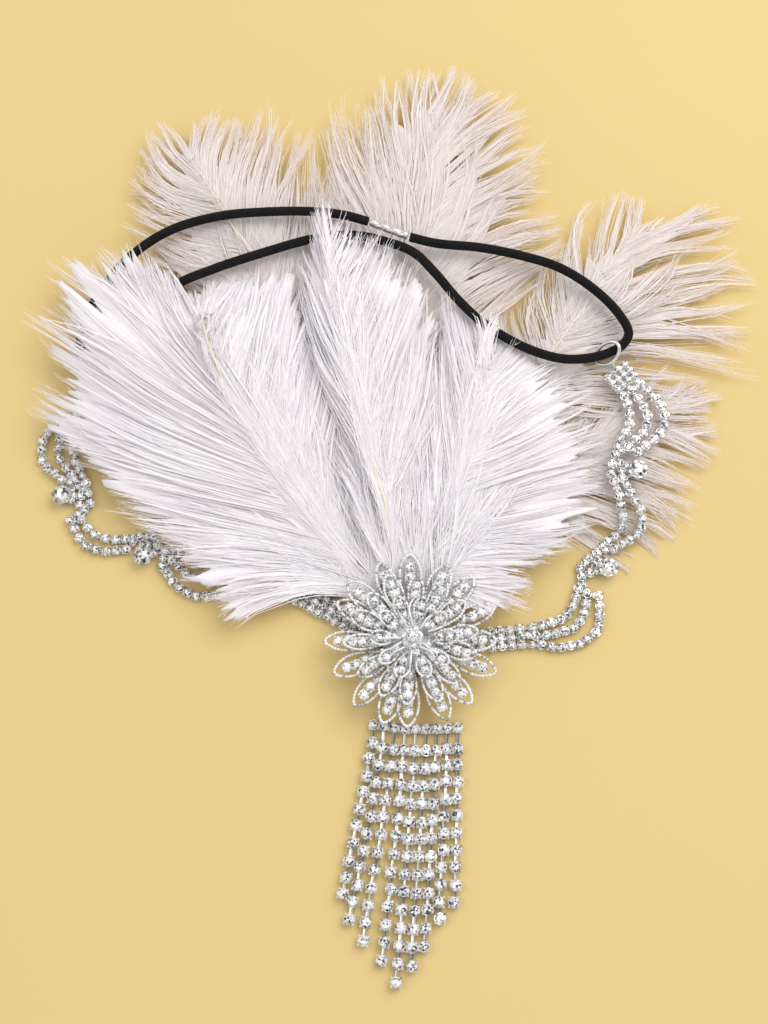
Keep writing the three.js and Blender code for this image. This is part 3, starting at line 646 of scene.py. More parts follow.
def side_chain(side, table):
    soup = Soup()
    replaced = []
    band = catmull(table["band"]["points"])
    n = int(arc(band)[-1] / 2.75)
    at = np.linspace(1.3, arc(band)[-1] - 1.3, n)
    p, t, z, s = run_frames(band, at)
    for k in (-1, 0, 1):
        place(soup, STONE, p + s * k * 2.5, t, z, 0.93)
        link_strip(soup, even(band, 12) + np.array([0, 0, 0]) + np.array([0, k * 2.4, 0]))
    replaced.append(f"band_{side}")
    ends = []
    for swag in table["swags"]:
        for tie in swag["ties"]:
            tie = np.array(tie, float)
            d = unit(tie[-1] - tie[0])
            place(soup, STONE, tie, d, UP, 1.0)
            link_strip(soup, np.vstack([tie[0] - d * 0.8, tie, tie[-1] + d * 0.8]))
            ends.append(tie)
        for row in swag["rows"]:
            stone_row(soup, catmull(row), 2.7, 2.7, ROW_PITCH)
        replaced.append(f"{swag['name']}_{side}")
    for c in table["clusters"]:
        centre = np.array([(x, y, c["z"]) for x, y in c["stones"]], float)
        place(soup, STONE, centre, (1, 0, 0), UP, 0.98, 0.08)
        big = np.array([*c["crystal"], c["z"]], float)
        place(soup, LARGE_STONE, big, (1, 0.3, 0), UP, 1.0, 0.02)
        filled = list(centre)
        pairs = sorted((np.linalg.norm(a - b), i, j) for i, a in enumerate(centre) for j, b in enumerate(centre[:i]))
        spots = [(centre[i] + centre[j]) / 2 for d, i, j in pairs if 3.4 < d < 7.5] + [big + unit(c - big) * 3.35 for c in centre if np.linalg.norm(c - big) < 8]
        for spot in spots:
            if min(np.linalg.norm(spot - other) for other in filled) > 1.95 and np.linalg.norm(spot - big) > 3.1:
                filled.append(spot)
        extra = np.array(filled[len(centre):])
        if len(extra):
            place(soup, SMALL_STONE, extra, (1, 0, 0), UP, 1.05, 0.08)
        for a in list(centre) + [big]:
            near = centre[np.argsort(np.linalg.norm(centre - a, axis=1))[:3]]
            for b in near:
                if np.linalg.norm(b - a) > 0.5:
                    link_strip(soup, np.linspace(a, b, 4), 0.45)
        replaced += [f"cluster_{c['name']}_{side}", f"crystal_{c['name']}_{side}"]
    # struts from tie to tie over each cluster and to the block
    block = table["block"]
    c0 = np.array([block["x"], block["y"], block["z"]])
    plate = [np.array([[-4.4, 0, 0], [4.4, 0, 0]]) + np.array([0, k * BLOCK_PITCH, 0]) for k in (-1, 0, 1)]
    for line in plate:
        link_strip(soup, rot(np.linspace(line[0], line[1], 5), block["angle"]) + c0, 1.1, 0.1, 0.8)
    grid = np.array([((i - 1.5) * BLOCK_PITCH, (j - 1) * BLOCK_PITCH, 0) for i in range(4) for j in range(3)])
    place(soup, SMALL_STONE, rot(grid, block["angle"]) + c0, rot(np.array([[1.0, 0, 0]]), block["angle"])[0], UP, 1.0, 0.04)
    replaced.append(f"end_block_{side}")
    def link(a, b, n):
        """A soldered link; a long one carries a stone."""
        link_strip(soup, np.linspace(a, b, n), 0.45)
        if np.linalg.norm(b - a) > 3.9:
            place(soup, SMALL_STONE, (a + b)[None] / 2, (1, 0, 0), UP, 1.0, 0.06)

    tie = ends[-1]
    foot = rot(np.array([(x, -3.2, 0) for x in (-3.2, 0, 3.2)]), block["angle"]) + c0
    for a, b in zip(tie, foot):
        link(a, b, 4)
    for k, c in enumerate(table["clusters"]):
        centre = np.array([(x, y, c["z"]) for x, y in c["stones"]], float)
        for tie in (ends[2 * k + 1], ends[2 * k + 2]):
            d = np.linalg.norm(tie[:, None] - centre[None], axis=2)
            for i in range(len(tie)):
                j = d[i].argmin()
                if d[i, j] < 6:
                    link(tie[i], centre[j], 5)
    band_rows = [p[-1] + s[-1] * k * 2.5 for k in (1, 0, -1)]
    for i in range(len(ends[0])):
        link(ends[0][i], min(band_rows, key=lambda b: np.linalg.norm(b - ends[0][i])), 4)
    # bail that holds the wire ring
    ring = table["ring"]
    r0 = np.array([ring["x"], ring["y"], ring["z"]])
    head = rot(np.array([[0, 3.2, 0]]), block["angle"])[0] + c0 + np.array([0, 0, 1.2])
    to = unit((head - r0) * np.array([1, 1, 0]))
    near = r0 + to * 3.0 + np.array([0, 0, -0.2])
    bail = np.linspace(head, near, 6) + np.sin(np.linspace(0, np.pi, 6))[:, None] * np.array([0, 0, 0.5])
    add_tubes(soup, bail[None], np.full((1, 6), 0.42), 8, 0, True)
    return soup.build(f"chain_{side}_stones", [SILVER, CRYSTAL], replaced, "rhinestone")


RING_HALF_LENGTH, RING_HALF_WIDTH, RING_WIRE, RING_TILT = 4.4, 3.0, 1.2, 38


def wire_ring(side, ring):
    n, sides = 72, 12
    a = 2 * np.pi * np.arange(n) / n
    c = np.stack([RING_HALF_LENGTH * np.cos(a), RING_HALF_WIDTH * np.sin(a), 0 * a], 1)
    t = unit(np.roll(c, -1, 0) - np.roll(c, 1, 0))
    out = np.stack([t[:, 1], -t[:, 0], 0 * a], 1)
    b = 2 * np.pi * np.arange(sides) / sides
    v = c[:, None] + RING_WIRE / 2 * (np.cos(b)[:, None] * out[:, None] + np.sin(b)[:, None] * UP)
    w = math.radians(-RING_TILT)
    x, z = v[..., 0].copy(), v[..., 2].copy()
    v[..., 0], v[..., 2] = x * math.cos(w) + z * math.sin(w), -x * math.sin(w) + z * math.cos(w)
    v = rot(v, ring["angle"]) + np.array([ring["x"], ring["y"], ring["z"]])
    i, j = np.meshgrid(np.arange(n), np.arange(sides), indexing="ij")
    f = np.stack([i * sides + j, i * sides + (j + 1) % sides, ((i + 1) % n) * sides + (j + 1) % sides, ((i + 1) % n) * sides + j], -1).reshape(-1, 4)
    soup = Soup()
    soup.put(v.reshape(-1, 3), [f[:, ::-1]], 0, True)
    return soup.build(f"wire_ring_{side}", [SILVER_WIRE], [f"end_ring_{side}"], "silver_metal")


for name, table in CHAINS.items():
    side_chain(name, table)
    wire_ring(name, table["ring"])

# ------------------------------------------------------------------- fringe
FRINGE_STRANDS, FRINGE_PITCH, FRINGE_LEFT_X, FRINGE_TOP_Y = 9, 3.15, -11.6, -25.3
FRINGE_FEET = [(-20.9, -74.6), (-18.6, -81.9), (-14.6, -87.9), (-9.1, -93.5), (-5.0, -100.0), (-0.7, -95.2), (3.4, -89.9), (7.6, -81.9), (12.3, -77.0)]
FRINGE_STONES = [10, 11, 12, 13, 14, 13, 12, 11, 10]  # below the bar
FRINGE_FIRST = [4.6, 6.4, 6.6, 6.9, 7.2, 7.2, 7.0, 6.4, 6.3]  # from the bar to the first stone


def fringe():
    soup = Soup()
    x = FRINGE_LEFT_X + FRINGE_PITCH * np.arange(FRINGE_STRANDS)
    sag = -0.9 * np.sin(np.pi * np.arange(FRINGE_STRANDS) / (FRINGE_STRANDS - 1)) + np.linspace(0.6, 0, FRINGE_STRANDS)
    bar = np.stack([x, FRINGE_TOP_Y + sag, 0 * x], 1)
    place(soup, STONE, bar, (1, 0, 0), UP, 1.14, 0.08)
    link_strip(soup, bar)
    for i, (fx, fy) in enumerate(FRINGE_FEET):
        top = FRINGE_TOP_Y - 1.87
        knee = (x[i] + (fx - x[i]) * 0.46, top + (fy - top) * 0.5, 0)
        line = catmull([(x[i], top, 0), knee, (fx, fy, 0)])
        d = arc(line)[-1]
        first = FRINGE_FIRST[i] - 1.87
        at = np.linspace(first, d - 0.2, FRINGE_STONES[i])
        at[1:-1] += rng.normal(0, 0.12, len(at) - 2)
        p, t, z, s = run_frames(line, at)
        p += s * rng.normal(0, 0.13, len(at))[:, None]
        place(soup, STONE, p, t, z, 1.25, 0.06)
        chain = np.vstack([bar[i], p])
        for a, b in zip(chain[:-1], chain[1:]):
            d = unit(b - a)
            tilt = rng.uniform(-0.2, 0.2)
            piece = np.array([a + d * 1.1, b - d * 1.1]) + np.array([[0, 0, 0.95 + tilt], [0, 0, 0.95 - tilt]])
            # The links between stones get random tones from dark to bright: painted reflections.
            add_tubes(soup, piece[None], np.full((1, 2), rng.uniform(0.34, 0.46)), 4, 0, False, rng.choice([0.0, 0.2, 0.5, 1.0], p=[0.35, 0.25, 0.15, 0.25]), 0.45)
    nodes = ["fringe_bar"] + [f"fringe_strand_{k + 1}" for k in range(FRINGE_STRANDS)]
    return soup.build("fringe_stones", [SILVER_WIRE, CRYSTAL], nodes, "rhinestone")


fringe()

# ------------------------------------------------------------------- flower
TIERS = [
    {"name": "petals_outer", "count": 16, "hub": 9, "root": 8, "tip": 26.5, "width": 7.4, "z": 5.2, "rise": 1.6, "turn": 0,
     "stones": [(4.2, 1.16), (7.3, 1.24), (10.4, 1.08)], "beads": 0.5},
    {"name": "petals_middle", "count": 14, "hub": 7, "root": 6, "tip": 20.5, "width": 6.2, "z": 6.8, "rise": 3.0, "turn": 8,
     "stones": [(3.2, 1.02), (6.1, 1.2), (9.1, 1.1)], "beads": 0.46},
    {"name": "petals_inner", "count": 10, "hub": 5, "root": 4, "tip": 13.5, "width": 5.4, "z": 8.4, "rise": 4.0, "turn": 0,
     "stones": [(2.8, 0.9), (5.6, 1.05)], "beads": 0.44},
]
TIER_THICKNESS = 1.3


def bead():
    """A small smooth bead of twenty faces."""
    g = (1 + 5 ** 0.5) / 2
    v = np.array([(-1, g, 0), (1, g, 0), (-1, -g, 0), (1, -g, 0), (0, -1, g), (0, 1, g), (0, -1, -g), (0, 1, -g), (g, 0, -1), (g, 0, 1), (-g, 0, -1), (-g, 0, 1)])
    f = [(0, 11, 5), (0, 5, 1), (0, 1, 7), (0, 7, 10), (0, 10, 11), (1, 5, 9), (5, 11, 4), (11, 10, 2), (10, 7, 6), (7, 1, 8),
         (3, 9, 4), (3, 4, 2), (3, 2, 6), (3, 6, 8), (3, 8, 9), (4, 9, 5), (2, 4, 11), (6, 2, 10), (8, 6, 7), (9, 8, 1)]
    return unit(v), np.array(f)


BEAD = bead()


def add_beads(soup, centres, radius, mat=0):
    v, tri = BEAD
    n = len(centres)
    r = np.broadcast_to(radius, n)[:, None, None]
    w = (np.asarray(centres)[:, None] + r * v[None]).reshape(-1, 3)
    off = (np.arange(n) * len(v))[:, None, None]
    # Each bead gets a random dark, mid or bright tone: painted reflections on the beaded wire.
    soup.put(w, [(tri[None] + off).reshape(-1, 3)], mat, True, np.repeat(rng.choice([0.05, 0.5, 1.0], n, p=[0.22, 0.33, 0.45]), len(tri)))


def petal_side(inner, outer, width, sign, n=24):
    t = np.linspace(0, 1, n)
    return np.stack([inner + (outer - inner) * t, sign * (width / 2 - 0.42) * np.sin(np.pi * np.clip(t, 1e-6, 1) ** 1.5).clip(0) ** 0.68, 0 * t], 1)


def tier(table):
    soup = Soup()
    root, tip, rise = table["root"], table["tip"], table["rise"]
    slope = math.atan2(rise, tip - root)
    z0 = table["z"] + TIER_THICKNESS / 2

    def lift(p, bow=0.5):
        q = np.array(p, float)
        u = (q[..., 0] - root) / (tip - root)
        q[..., 2] += z0 + rise * u + bow * np.sin(np.pi * np.clip(u, 0, 1))
        return q

    for k in range(table["count"]):
        turn = table["turn"] + 360 / table["count"] * k + rng.normal(0, 2.2)
        long = rng.uniform(-1.5, 0.4)
        wide = table["width"] * rng.uniform(0.86, 1.0)
        loops = [petal_side(root, tip + long, wide, s) for s in (1, -1)]
        for line in loops:
            d = lift(even(line, 22))
            add_tubes(soup, rot(d, turn)[None], np.full((1, 22), table["beads"] * 0.7), 6, 0, True)
            n = int(arc(line)[-1] / (table["beads"] * 1.95))
            add_beads(soup, rot(lift(even(line, n)), turn), table["beads"] * 1.12)
        tipbead = lift(np.array([[tip + long - 0.2, 0, 0]]))
        add_beads(soup, rot(tipbead, turn), table["beads"] * 1.35)
        # stones down the middle, the outer ones nearest the tip
        for back, size in table["stones"]:
            at = lift(np.array([[tip + long - back, 0, 0]]))[0]
            normal = np.array([-math.sin(slope), 0, math.cos(slope)])
            base = at - normal * 0.9
            place(soup, FLOWER_STONE, rot(base, turn), rot(np.array([math.cos(slope), 0, math.sin(slope)]), turn), rot(normal, turn), size * rng.uniform(0.96, 1.04), 0.1)
        # inner wires from the hub to the first stone
        reach = tip + long - table["stones"][-1][0] - 1.1
        for s in (1, -1):
            x = np.linspace(table["hub"] - 1.5, reach, 8)
            u = np.linspace(0, 1, 8)
            w = np.stack([x, s * (0.5 + 0.75 * np.sin(np.pi * u)), 0 * x], 1)
            add_tubes(soup, rot(lift(w, 0.7), turn)[None], np.full((1, 8), 0.34), 6, 0, True)
    hub_v, hub_f = lathe([(table["hub"] - 0.4, 0.1), (table["hub"], 0.35), (table["hub"], 0.95), (table["hub"] - 0.4, 1.2)], 32)
    soup.put(hub_v + np.array([0, 0, table["z"]]), hub_f, 0, False)
    a = 2 * np.pi * np.arange(int(table["hub"] * 7)) / int(table["hub"] * 7)
    ring = np.stack([(table["hub"] - 0.3) * np.cos(a), (table["hub"] - 0.3) * np.sin(a), np.full(len(a), table["z"] + 1.25)], 1)
    add_beads(soup, ring, 0.4)
    return soup


FLOWER_STONE = stone_template(1.2, 1.36, 1.7, 0.75, 4, 8, 0.2)


def flower():
    for table in TIERS:
        soup = tier(table)
        if table["name"] == "petals_inner":
            for k in range(10):
                turn = 18 + 36 * k + rng.normal(0, 8)
                bow = rng.uniform(-14, 14)
                r = np.linspace(3.2, rng.uniform(9.5, 13.0), 9)
                u = np.linspace(0, 1, 9)
                p = np.stack([r, 0 * r, 11.4 + 1.6 * np.sin(np.pi * u * 0.9) - 1.2 * u], 1)
                a = np.radians(turn + bow * np.sin(np.pi * u))
                q = np.stack([r * np.cos(a), r * np.sin(a), p[:, 2]], 1)
                add_tubes(soup, q[None], np.linspace(0.4, 0.28, 9)[None], 8, 0, True)
                add_beads(soup, q[-1:], 0.62)
        soup.build(f"flower_{table['name']}", [PETAL_WIRE, FLOWER_CRYSTAL], [table["name"]], "silver_metal")
    soup = Soup()
    v, f = lathe([(2.0, 10.0), (3.1, 10.3), (3.3, 11.2), (2.6, 11.9)], 24)
    soup.put(v, f, 0, True)
    place(soup, FLOWER_STONE, [(0, 0, 12.4)], (1, 0, 0), UP, 1.25, 0.0)
    for k in range(7):
        a = 2 * np.pi * (k + 0.3) / 7
        out = np.array([math.cos(a), math.sin(a), 0])
        place(soup, FLOWER_STONE, out * 2.35 + np.array([0, 0, 11.3]), out, UP + out * 0.45, 0.72, 0.05)
    # one stone painted dark (tone 0.12) as a stone that catches no light, and loose stones around it
    v, f = lathe([(0.5, 12.0), (1.05, 12.3), (1.0, 12.9), (0.45, 13.3)], 10)
    soup.put(v + np.array([3.9, 1.4, -0.6]), f, 1, False, 0.12)
    for k in range(6):
        a = 2 * np.pi * (k + 0.7) / 6 + rng.normal(0, 0.15)
        out = np.array([math.cos(a), math.sin(a), 0])
        place(soup, FLOWER_STONE, out * rng.uniform(4.6, 5.6) + np.array([0, 0, 11.0]), out, UP + out * rng.uniform(0.2, 0.6), 0.8, 0.1)
    a = 2 * np.pi * np.arange(24) / 24
    add_beads(soup, np.stack([3.35 * np.cos(a), 3.35 * np.sin(a), 0 * a + 11.1], 1), 0.36)
    soup.build("flower_centre_cluster", [PETAL_WIRE, FLOWER_CRYSTAL], ["centre_stone"], "rhinestone")


flower()
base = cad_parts["brooch_base"]
base.data.materials.clear()
base.data.materials.append(SILVER)

# ------------------------------------------------------------------- plumes
# Stations along each quill: x, y, reach of the vane to its left and right, underside and top.
PLUMES = {
    "plume_front_left": [
        (-7.4, 6.7, 0.9, 0.9, 1.9, 3.7), (-16.5, 21, 0.9, 0.9, 3.0, 4.8), (-19, 24.5, 24, 5, 4.4, 8.5),
        (-28, 38, 36, 10, 6.4, 12), (-43, 57, 46, 15, 9, 17), (-57, 78, 52, 18, 11.6, 20.5),
        (-64, 97, 46, 19, 11.6, 20), (-64.5, 110, 36, 13, 11.6, 17.5), (-61, 118, 15, 7, 11.8, 14.5)],
    "plume_front_centre": [
        (-2.8, 9.6, 0.9, 0.9, 1.9, 3.7), (-4.6, 26.3, 0.9, 0.9, 3.0, 4.8), (-5.4, 30.5, 5, 6, 4.4, 8.5),
        (-8.5, 43, 9, 10, 6.4, 13), (-14, 62, 13, 14, 8.4, 18), (-20, 85, 16, 18, 11.6, 21.5),
        (-24.5, 106, 17, 20, 11.6, 21), (-26, 122, 15, 17, 11.8, 18), (-26, 131, 7, 7, 11.8, 14.5)],
    "plume_front_right": [
        (2.8, 9.6, 0.9, 0.9, 1.9, 3.7), (7.4, 25.7, 0.9, 0.9, 3.0, 4.8), (8.8, 29.5, 6, 20, 4.4, 8.5),
        (12.5, 44, 9, 30, 6.4, 13), (18, 62, 13, 33, 8.4, 17.5), (21.6, 79, 17, 30, 11, 18.5),
        (22.6, 90, 15, 20, 11.6, 16.5), (22.6, 97, 8, 8, 11.8, 14)],
    "plume_rear_left": [
        (-5.3, 8.5, 0.9, 0.9, 1.9, 3.7), (-13, 30, 0.9, 0.9, 1.6, 3.4), (-18, 46, 3, 3, 0.6, 4),
        (-25, 66, 12, 9, 0, 5.6), (-37, 95, 20, 14, 0, 7.6), (-50, 122, 28, 19, 0, 8),
        (-62, 143, 30, 23, 0, 8), (-71, 158, 20, 18, 0, 7), (-77, 168, 8, 8, 0.6, 4)],
    "plume_rear_centre": [
        (0, 10, 0.9, 0.9, 1.9, 3.7), (0.6, 32, 0.9, 0.9, 1.6, 3.4), (-0.5, 47, 3, 3, 0.6, 4),
        (-1.5, 66, 10, 10, 0, 5.6), (-3, 95, 16, 18, 0, 7.6), (-3, 122, 21, 25, 0, 8),
        (1, 146, 27, 31, 0, 8), (8, 167, 25, 27, 0, 7), (16, 182, 9, 9, 0.6, 4)],
    "plume_rear_right": [
        (5.3, 8.5, 0.9, 0.9, 1.9, 3.7), (15.5, 32, 0.9, 0.9, 1.6, 3.4), (21, 46, 2.5, 2.5, 0.6, 4),
        (31, 68, 8, 8, 0, 5), (43, 90, 14, 11, 0, 5.6), (58, 112, 21, 16, 0, 6),
        (70, 129, 24, 22, 0, 6), (79, 142, 14, 15, 0.4, 4.6)],
    "plume_rear_low": [
        (7.4, 6.7, 0.9, 0.9, 1.9, 3.7), (22, 27, 0.9, 0.9, 1.6, 3.4), (31, 38, 2.5, 2.5, 0.6, 4),
        (45, 53, 7, 7, 0, 5), (60, 66, 12, 12, 0, 5.6), (78, 76, 17, 17, 0, 5.6),
        (94, 82, 20, 25, 0, 5.6), (107, 86, 12, 14, 0.4, 4.4)],
}
# Guide barbs: place of the root along the quill (mm from its start), tip x and y, and outward bend in
# degrees; those on the quill's left first, from the flower to the tip, then those on its right.
GUIDES = {
    "plume_front_left": (
         [(7, -57.1, 2.3, 24), (9, -62.3, 9.0, 16), (12, -68.2, 15.2, 10), (18, -79.5, 30.7, 5), (23, -96.1, 43.3, 2),
          (30, -100.5, 54.8, 0), (36, -116.8, 68.0, -2), (43, -118.2, 78.7, -3), (49, -115.0, 91.5, -3),
          (55, -119.5, 106.7, -4), (60, -118.0, 115.1, -5), (67, -110.2, 124.5, -7), (71, -100.9, 129.6, -9),
          (76, -92.1, 130.3, -11), (81, -83.1, 125.5, -11), (87, -77.5, 118.8, -8), (94, -73.2, 112.1, -5),
          (100, -69.4, 112.1, -3), (107, -65.4, 113.4, 0), (115, -60.4, 115.8, 0)],
         [(5, -8.5, 37.3, 4), (10, -15.2, 53.2, 4), (18, -18.4, 67.6, 4), (30, -22.8, 82.9, 4), (44, -26.6, 97.1, 3),
          (57, -31.1, 109.4, 3), (69, -35.9, 120.1, 2), (82, -44.4, 121.5, 2), (93, -50.7, 117.4, 2),
          (105, -55.1, 115.8, 3), (115, -58.2, 115.8, 0)]),
    "plume_front_centre": (
         [(6, -18.1, 37.0, 4), (13, -22.5, 57.5, 4), (20, -26.2, 76.0, 3), (32, -30.0, 90.9, 3), (42, -32.6, 102.7, 2),
          (52, -34.6, 112.6, 0), (64, -35.6, 121.3, -2), (81, -32.3, 129.4, -3), (98, -29.5, 137.8, -3),
          (111, -28.0, 141.6, -2)],
         [(6, 7.2, 39.2, 4), (13, 9.7, 58.1, 4), (20, 11.1, 72.8, 3), (32, 10.6, 89.6, 4), (42, 8.3, 106.0, 5),
          (52, 4.3, 116.6, 6), (64, -1.0, 124.0, 6), (81, -9.1, 130.4, 5), (98, -16.0, 132.1, 3), (109, -20.4, 132.7, 0),
          (111, -24.8, 140.9, 0)]),
    "plume_front_right": (
         [(5, -2.4, 37.1, 2), (13, 2.6, 57.7, 2), (25, 5.7, 75.4, 2), (34, 7.7, 91.8, 2), (45, 9.7, 104.3, 0),
          (54, 11.3, 111.3, -2), (64, 13.2, 114.4, -3), (73, 17.5, 109.0, -2), (83, 21.5, 105.0, 0)],
         [(5, 23.9, 7.3, 8), (6, 29.4, 8.8, 10), (8, 41.5, 14.0, 8), (11, 35.6, 19.0, 6), (15, 45.4, 26.7, 4),
          (19, 57.0, 32.7, 3), (23, 59.7, 41.8, 2), (28, 60.1, 52.9, 2), (35, 59.8, 63.8, 2), (42, 58.2, 74.8, 2),
          (49, 51.7, 83.9, 3), (57, 43.1, 91.1, 4), (65, 34.5, 96.7, 3), (75, 28.4, 101.3, 2), (85, 24.7, 106.3, 0)]),
    "plume_rear_left": (
         [(75, -64.9, 108.2, -4), (95, -75.7, 122.0, -6), (107, -86.0, 129.2, -8), (118, -92.3, 135.7, -9),
          (126, -91.8, 140.8, -11), (132, -91.4, 147.1, -14), (138, -90.1, 156.8, -17), (144, -88.7, 162.8, -17),
          (150, -86.0, 168.0, -15), (156, -83.2, 171.6, -11), (160, -79.3, 170.1, -6), (163, -76.3, 168.0, 0)],
         [(70, -22.5, 138.8, 2), (82, -26.8, 156.1, 3), (88, -29.7, 162.1, 4), (95, -32.7, 167.0, 5),
          (104, -34.7, 170.9, 6), (113, -40.2, 169.8, 7), (121, -42.8, 175.1, 7), (130, -47.3, 175.1, 6),
          (138, -52.2, 174.7, 5), (145, -56.7, 174.4, 5), (153, -61.9, 174.4, 4), (159, -67.4, 172.3, 2),
          (163, -71.1, 167.7, 0)]),
    "plume_rear_centre": (
         [(61, -25.6, 120.0, -2), (77, -27.3, 142.2, -3), (91, -28.7, 157.9, -4), (100, -28.6, 176.2, -5),
          (107, -25.0, 180.8, -6), (113, -20.5, 179.7, -6), (117, -15.9, 179.4, -6), (121, -12.4, 184.0, -6),
          (126, -8.5, 189.0, -6), (132, -5.2, 192.2, -5), (138, -0.0, 192.6, -4), (147, 5.2, 191.9, -3),
          (154, 9.8, 192.6, -2)],
         [(61, 47.3, 122.7, 12), (77, 48.1, 128.2, 12), (91, 49.2, 134.3, 12), (100, 49.6, 139.5, 12),
          (106, 44.3, 145.7, 12), (111, 42.6, 154.7, 12), (116, 44.6, 160.7, 11), (120, 42.2, 167.0, 10),
          (124, 38.8, 173.7, 9), (129, 34.3, 179.7, 8), (135, 29.2, 184.0, 7), (142, 24.7, 187.6, 5),
          (148, 19.5, 190.4, 3), (154, 13.7, 192.6, 0)]),
    "plume_rear_right": (
         [(70, 21.1, 100.2, -8), (79, 30.7, 110.3, -12), (86, 37.1, 116.3, -14), (93, 41.4, 123.1, -14),
          (99, 46.3, 128.6, -10), (105, 52.2, 136.8, -10), (112, 58.3, 150.6, -14), (118, 70.9, 153.8, 8),
          (125, 73.8, 151.7, 8), (133, 73.2, 135.4, 4), (140, 81.1, 140.2, 4)],
         [(69, 77.3, 71.2, 10), (76, 99.5, 80.7, 12), (83, 106.8, 83.9, 14), (87, 109.7, 85.9, 14),
          (93, 112.1, 94.9, 12), (98, 107.8, 104.5, 0), (103, 105.5, 116.0, -5), (108, 112.5, 117.0, 2),
          (113, 112.8, 123.1, 4), (117, 110.9, 129.6, 5), (122, 102.9, 134.4, 6), (127, 104.1, 140.2, 6),
          (132, 104.9, 144.0, 4), (138, 95.0, 144.4, -4)]),
    "plume_rear_low": (
         [(41, 46.3, 73.3, 3), (54, 58.9, 77.9, 3), (65, 71.6, 83.8, 4), (76, 81.7, 88.4, 5), (85, 90.4, 86.4, 5),
          (94, 97.2, 82.5, 4)],
         [(39, 69.4, 19.6, 14), (45, 76.1, 26.5, 12), (51, 77.1, 30.3, 10), (58, 88.7, 35.7, 10), (65, 88.9, 42.0, 8),
          (72, 90.8, 49.0, 7), (78, 95.8, 57.7, 6), (83, 99.0, 67.1, 5), (87, 94.9, 72.6, 4), (92, 95.3, 76.6, 3),
          (97, 98.9, 79.8, 2)]),
}
# Guide barbs that lie over the quill and over the seams between the plumes.
OVER = {
    "plume_front_left": [(11, -79.4, 41.0, 0), (11, -70.6, 52.0, 0), (12, -61.7, 61.6, 0), (13, -53.2, 66.4, 0),
        (14, -45.9, 66.4, 0), (15, -37.2, 61.6, 0), (17, -30.5, 56.8, 0), (25, -71.2, 74.4, 0), (27, -65.2, 82.5, 0),
        (30, -58.5, 83.5, 0), (32, -49.9, 85.8, 0), (34, -40.6, 84.1, 0), (36, -32.8, 79.3, 0), (46, -76.3, 92.3, -2),
        (49, -71.2, 96.6, -2), (52, -55.7, 97.3, 1), (55, -47.6, 99.9, 1), (57, -39.2, 98.9, 1), (60, -34.5, 95.6, 1),
        (91, -67.1, 109.8, 2), (97, -65.0, 112.5, 2), (101, -62.2, 113.2, 1), (103, -59.7, 112.5, 0),
        (98, -55.9, 110.5, 0), (94, -51.5, 108.5, 0), (73, -43.6, 118.5, 1), (69, -38.9, 119.2, 1),
        (64, -34.8, 115.5, 1), (12, -34.2, 68.0, 0), (14, -28.1, 64.1, 0), (16, -23.8, 59.6, 0)],
    "plume_front_centre": [(4, -27.3, 65.7, 0), (4, -23.7, 73.7, 0), (4, -21.3, 81.7, 0), (4, -18.2, 74.7, 0),
        (4, -6.1, 65.7, 0), (5, -2.4, 78.5, 0), (5, 2.5, 81.7, 0), (4, 6.1, 72.1, 0), (39, -31.1, 88.2, 0),
        (42, -28.7, 97.9, 0), (49, -26.4, 107.8, 0), (64, -26.9, 132.7, 0), (61, -18.4, 129.7, 0), (53, -14.0, 112.7, 0),
        (49, -7.9, 109.4, 0), (42, -2.3, 106.1, 0), (36, 3.8, 97.9, 0), (49, -2.3, 119.0, 3), (42, 2.0, 114.4, 4),
        (39, 5.7, 107.1, 4), (35, 8.1, 96.3, 3), (28, 9.2, 83.3, 3), (5, -24.2, 59.4, -1), (5, -27.9, 68.9, -1),
        (4, -19.4, 59.4, 0), (42, -33.8, 107.8, -2), (49, -35.1, 116.3, -2), (39, -32.4, 96.3, -2)],
    "plume_front_right": [(4, 2.5, 61.3, 0), (4, 6.8, 67.7, 0), (5, 11.8, 72.5, 0), (6, 16.7, 74.1, 0),
        (8, 22.2, 72.5, 0), (9, 28.5, 66.1, 0), (11, 34.5, 58.1, 0), (13, 40.4, 50.1, 0), (26, 7.5, 83.8, 0),
        (29, 11.3, 92.0, 0), (32, 15.1, 96.9, 0), (35, 18.8, 98.5, 0), (39, 23.7, 96.2, 0), (42, 28.9, 92.0, 0),
        (46, 34.1, 86.4, 0), (48, 39.5, 80.6, 0), (26, 5.1, 82.2, -2), (29, 7.0, 92.0, -2), (32, 9.5, 100.8, -2),
        (35, 12.1, 107.5, -1)],
    "plume_rear_left": [(91, -82.7, 125.1, -6), (91, -75.9, 130.2, -6), (97, -69.7, 135.3, -3), (101, -63.4, 138.8, 0),
        (106, -57.1, 142.2, 3), (112, -51.4, 145.7, 5), (118, -47.6, 147.4, 6), (125, -49.0, 154.4, 6),
        (91, -29.5, 138.8, 2), (94, -29.0, 147.4, 4), (99, -30.3, 156.1, 5)],
    "plume_rear_centre": [(85, -31.4, 137.1, -4), (86, -29.6, 147.4, -4), (88, -27.1, 157.9, -4), (91, -22.6, 150.9, -4),
        (92, -17.8, 161.4, -4), (93, -13.7, 168.4, -4), (97, -9.1, 173.7, -3), (100, -4.6, 177.6, -2),
        (104, 0.6, 179.7, 0), (106, 5.8, 179.7, 2), (104, 11.0, 178.3, 4), (100, 16.8, 174.7, 6), (97, 22.5, 169.1, 8),
        (93, 27.3, 161.4, 9), (91, 30.3, 152.6, 10), (87, 32.4, 144.0, 10)],
    "plume_rear_right": [(95, 60.6, 139.2, -4), (97, 68.4, 135.8, 0), (99, 76.3, 133.4, 4), (101, 83.2, 129.9, 6),
        (99, 88.7, 123.1, 8), (95, 91.5, 113.6, 8)],
    "plume_rear_low": [(72, 77.6, 77.2, 3), (70, 81.2, 73.3, 4), (65, 82.2, 66.8, 5), (60, 80.7, 59.3, 6)],
}
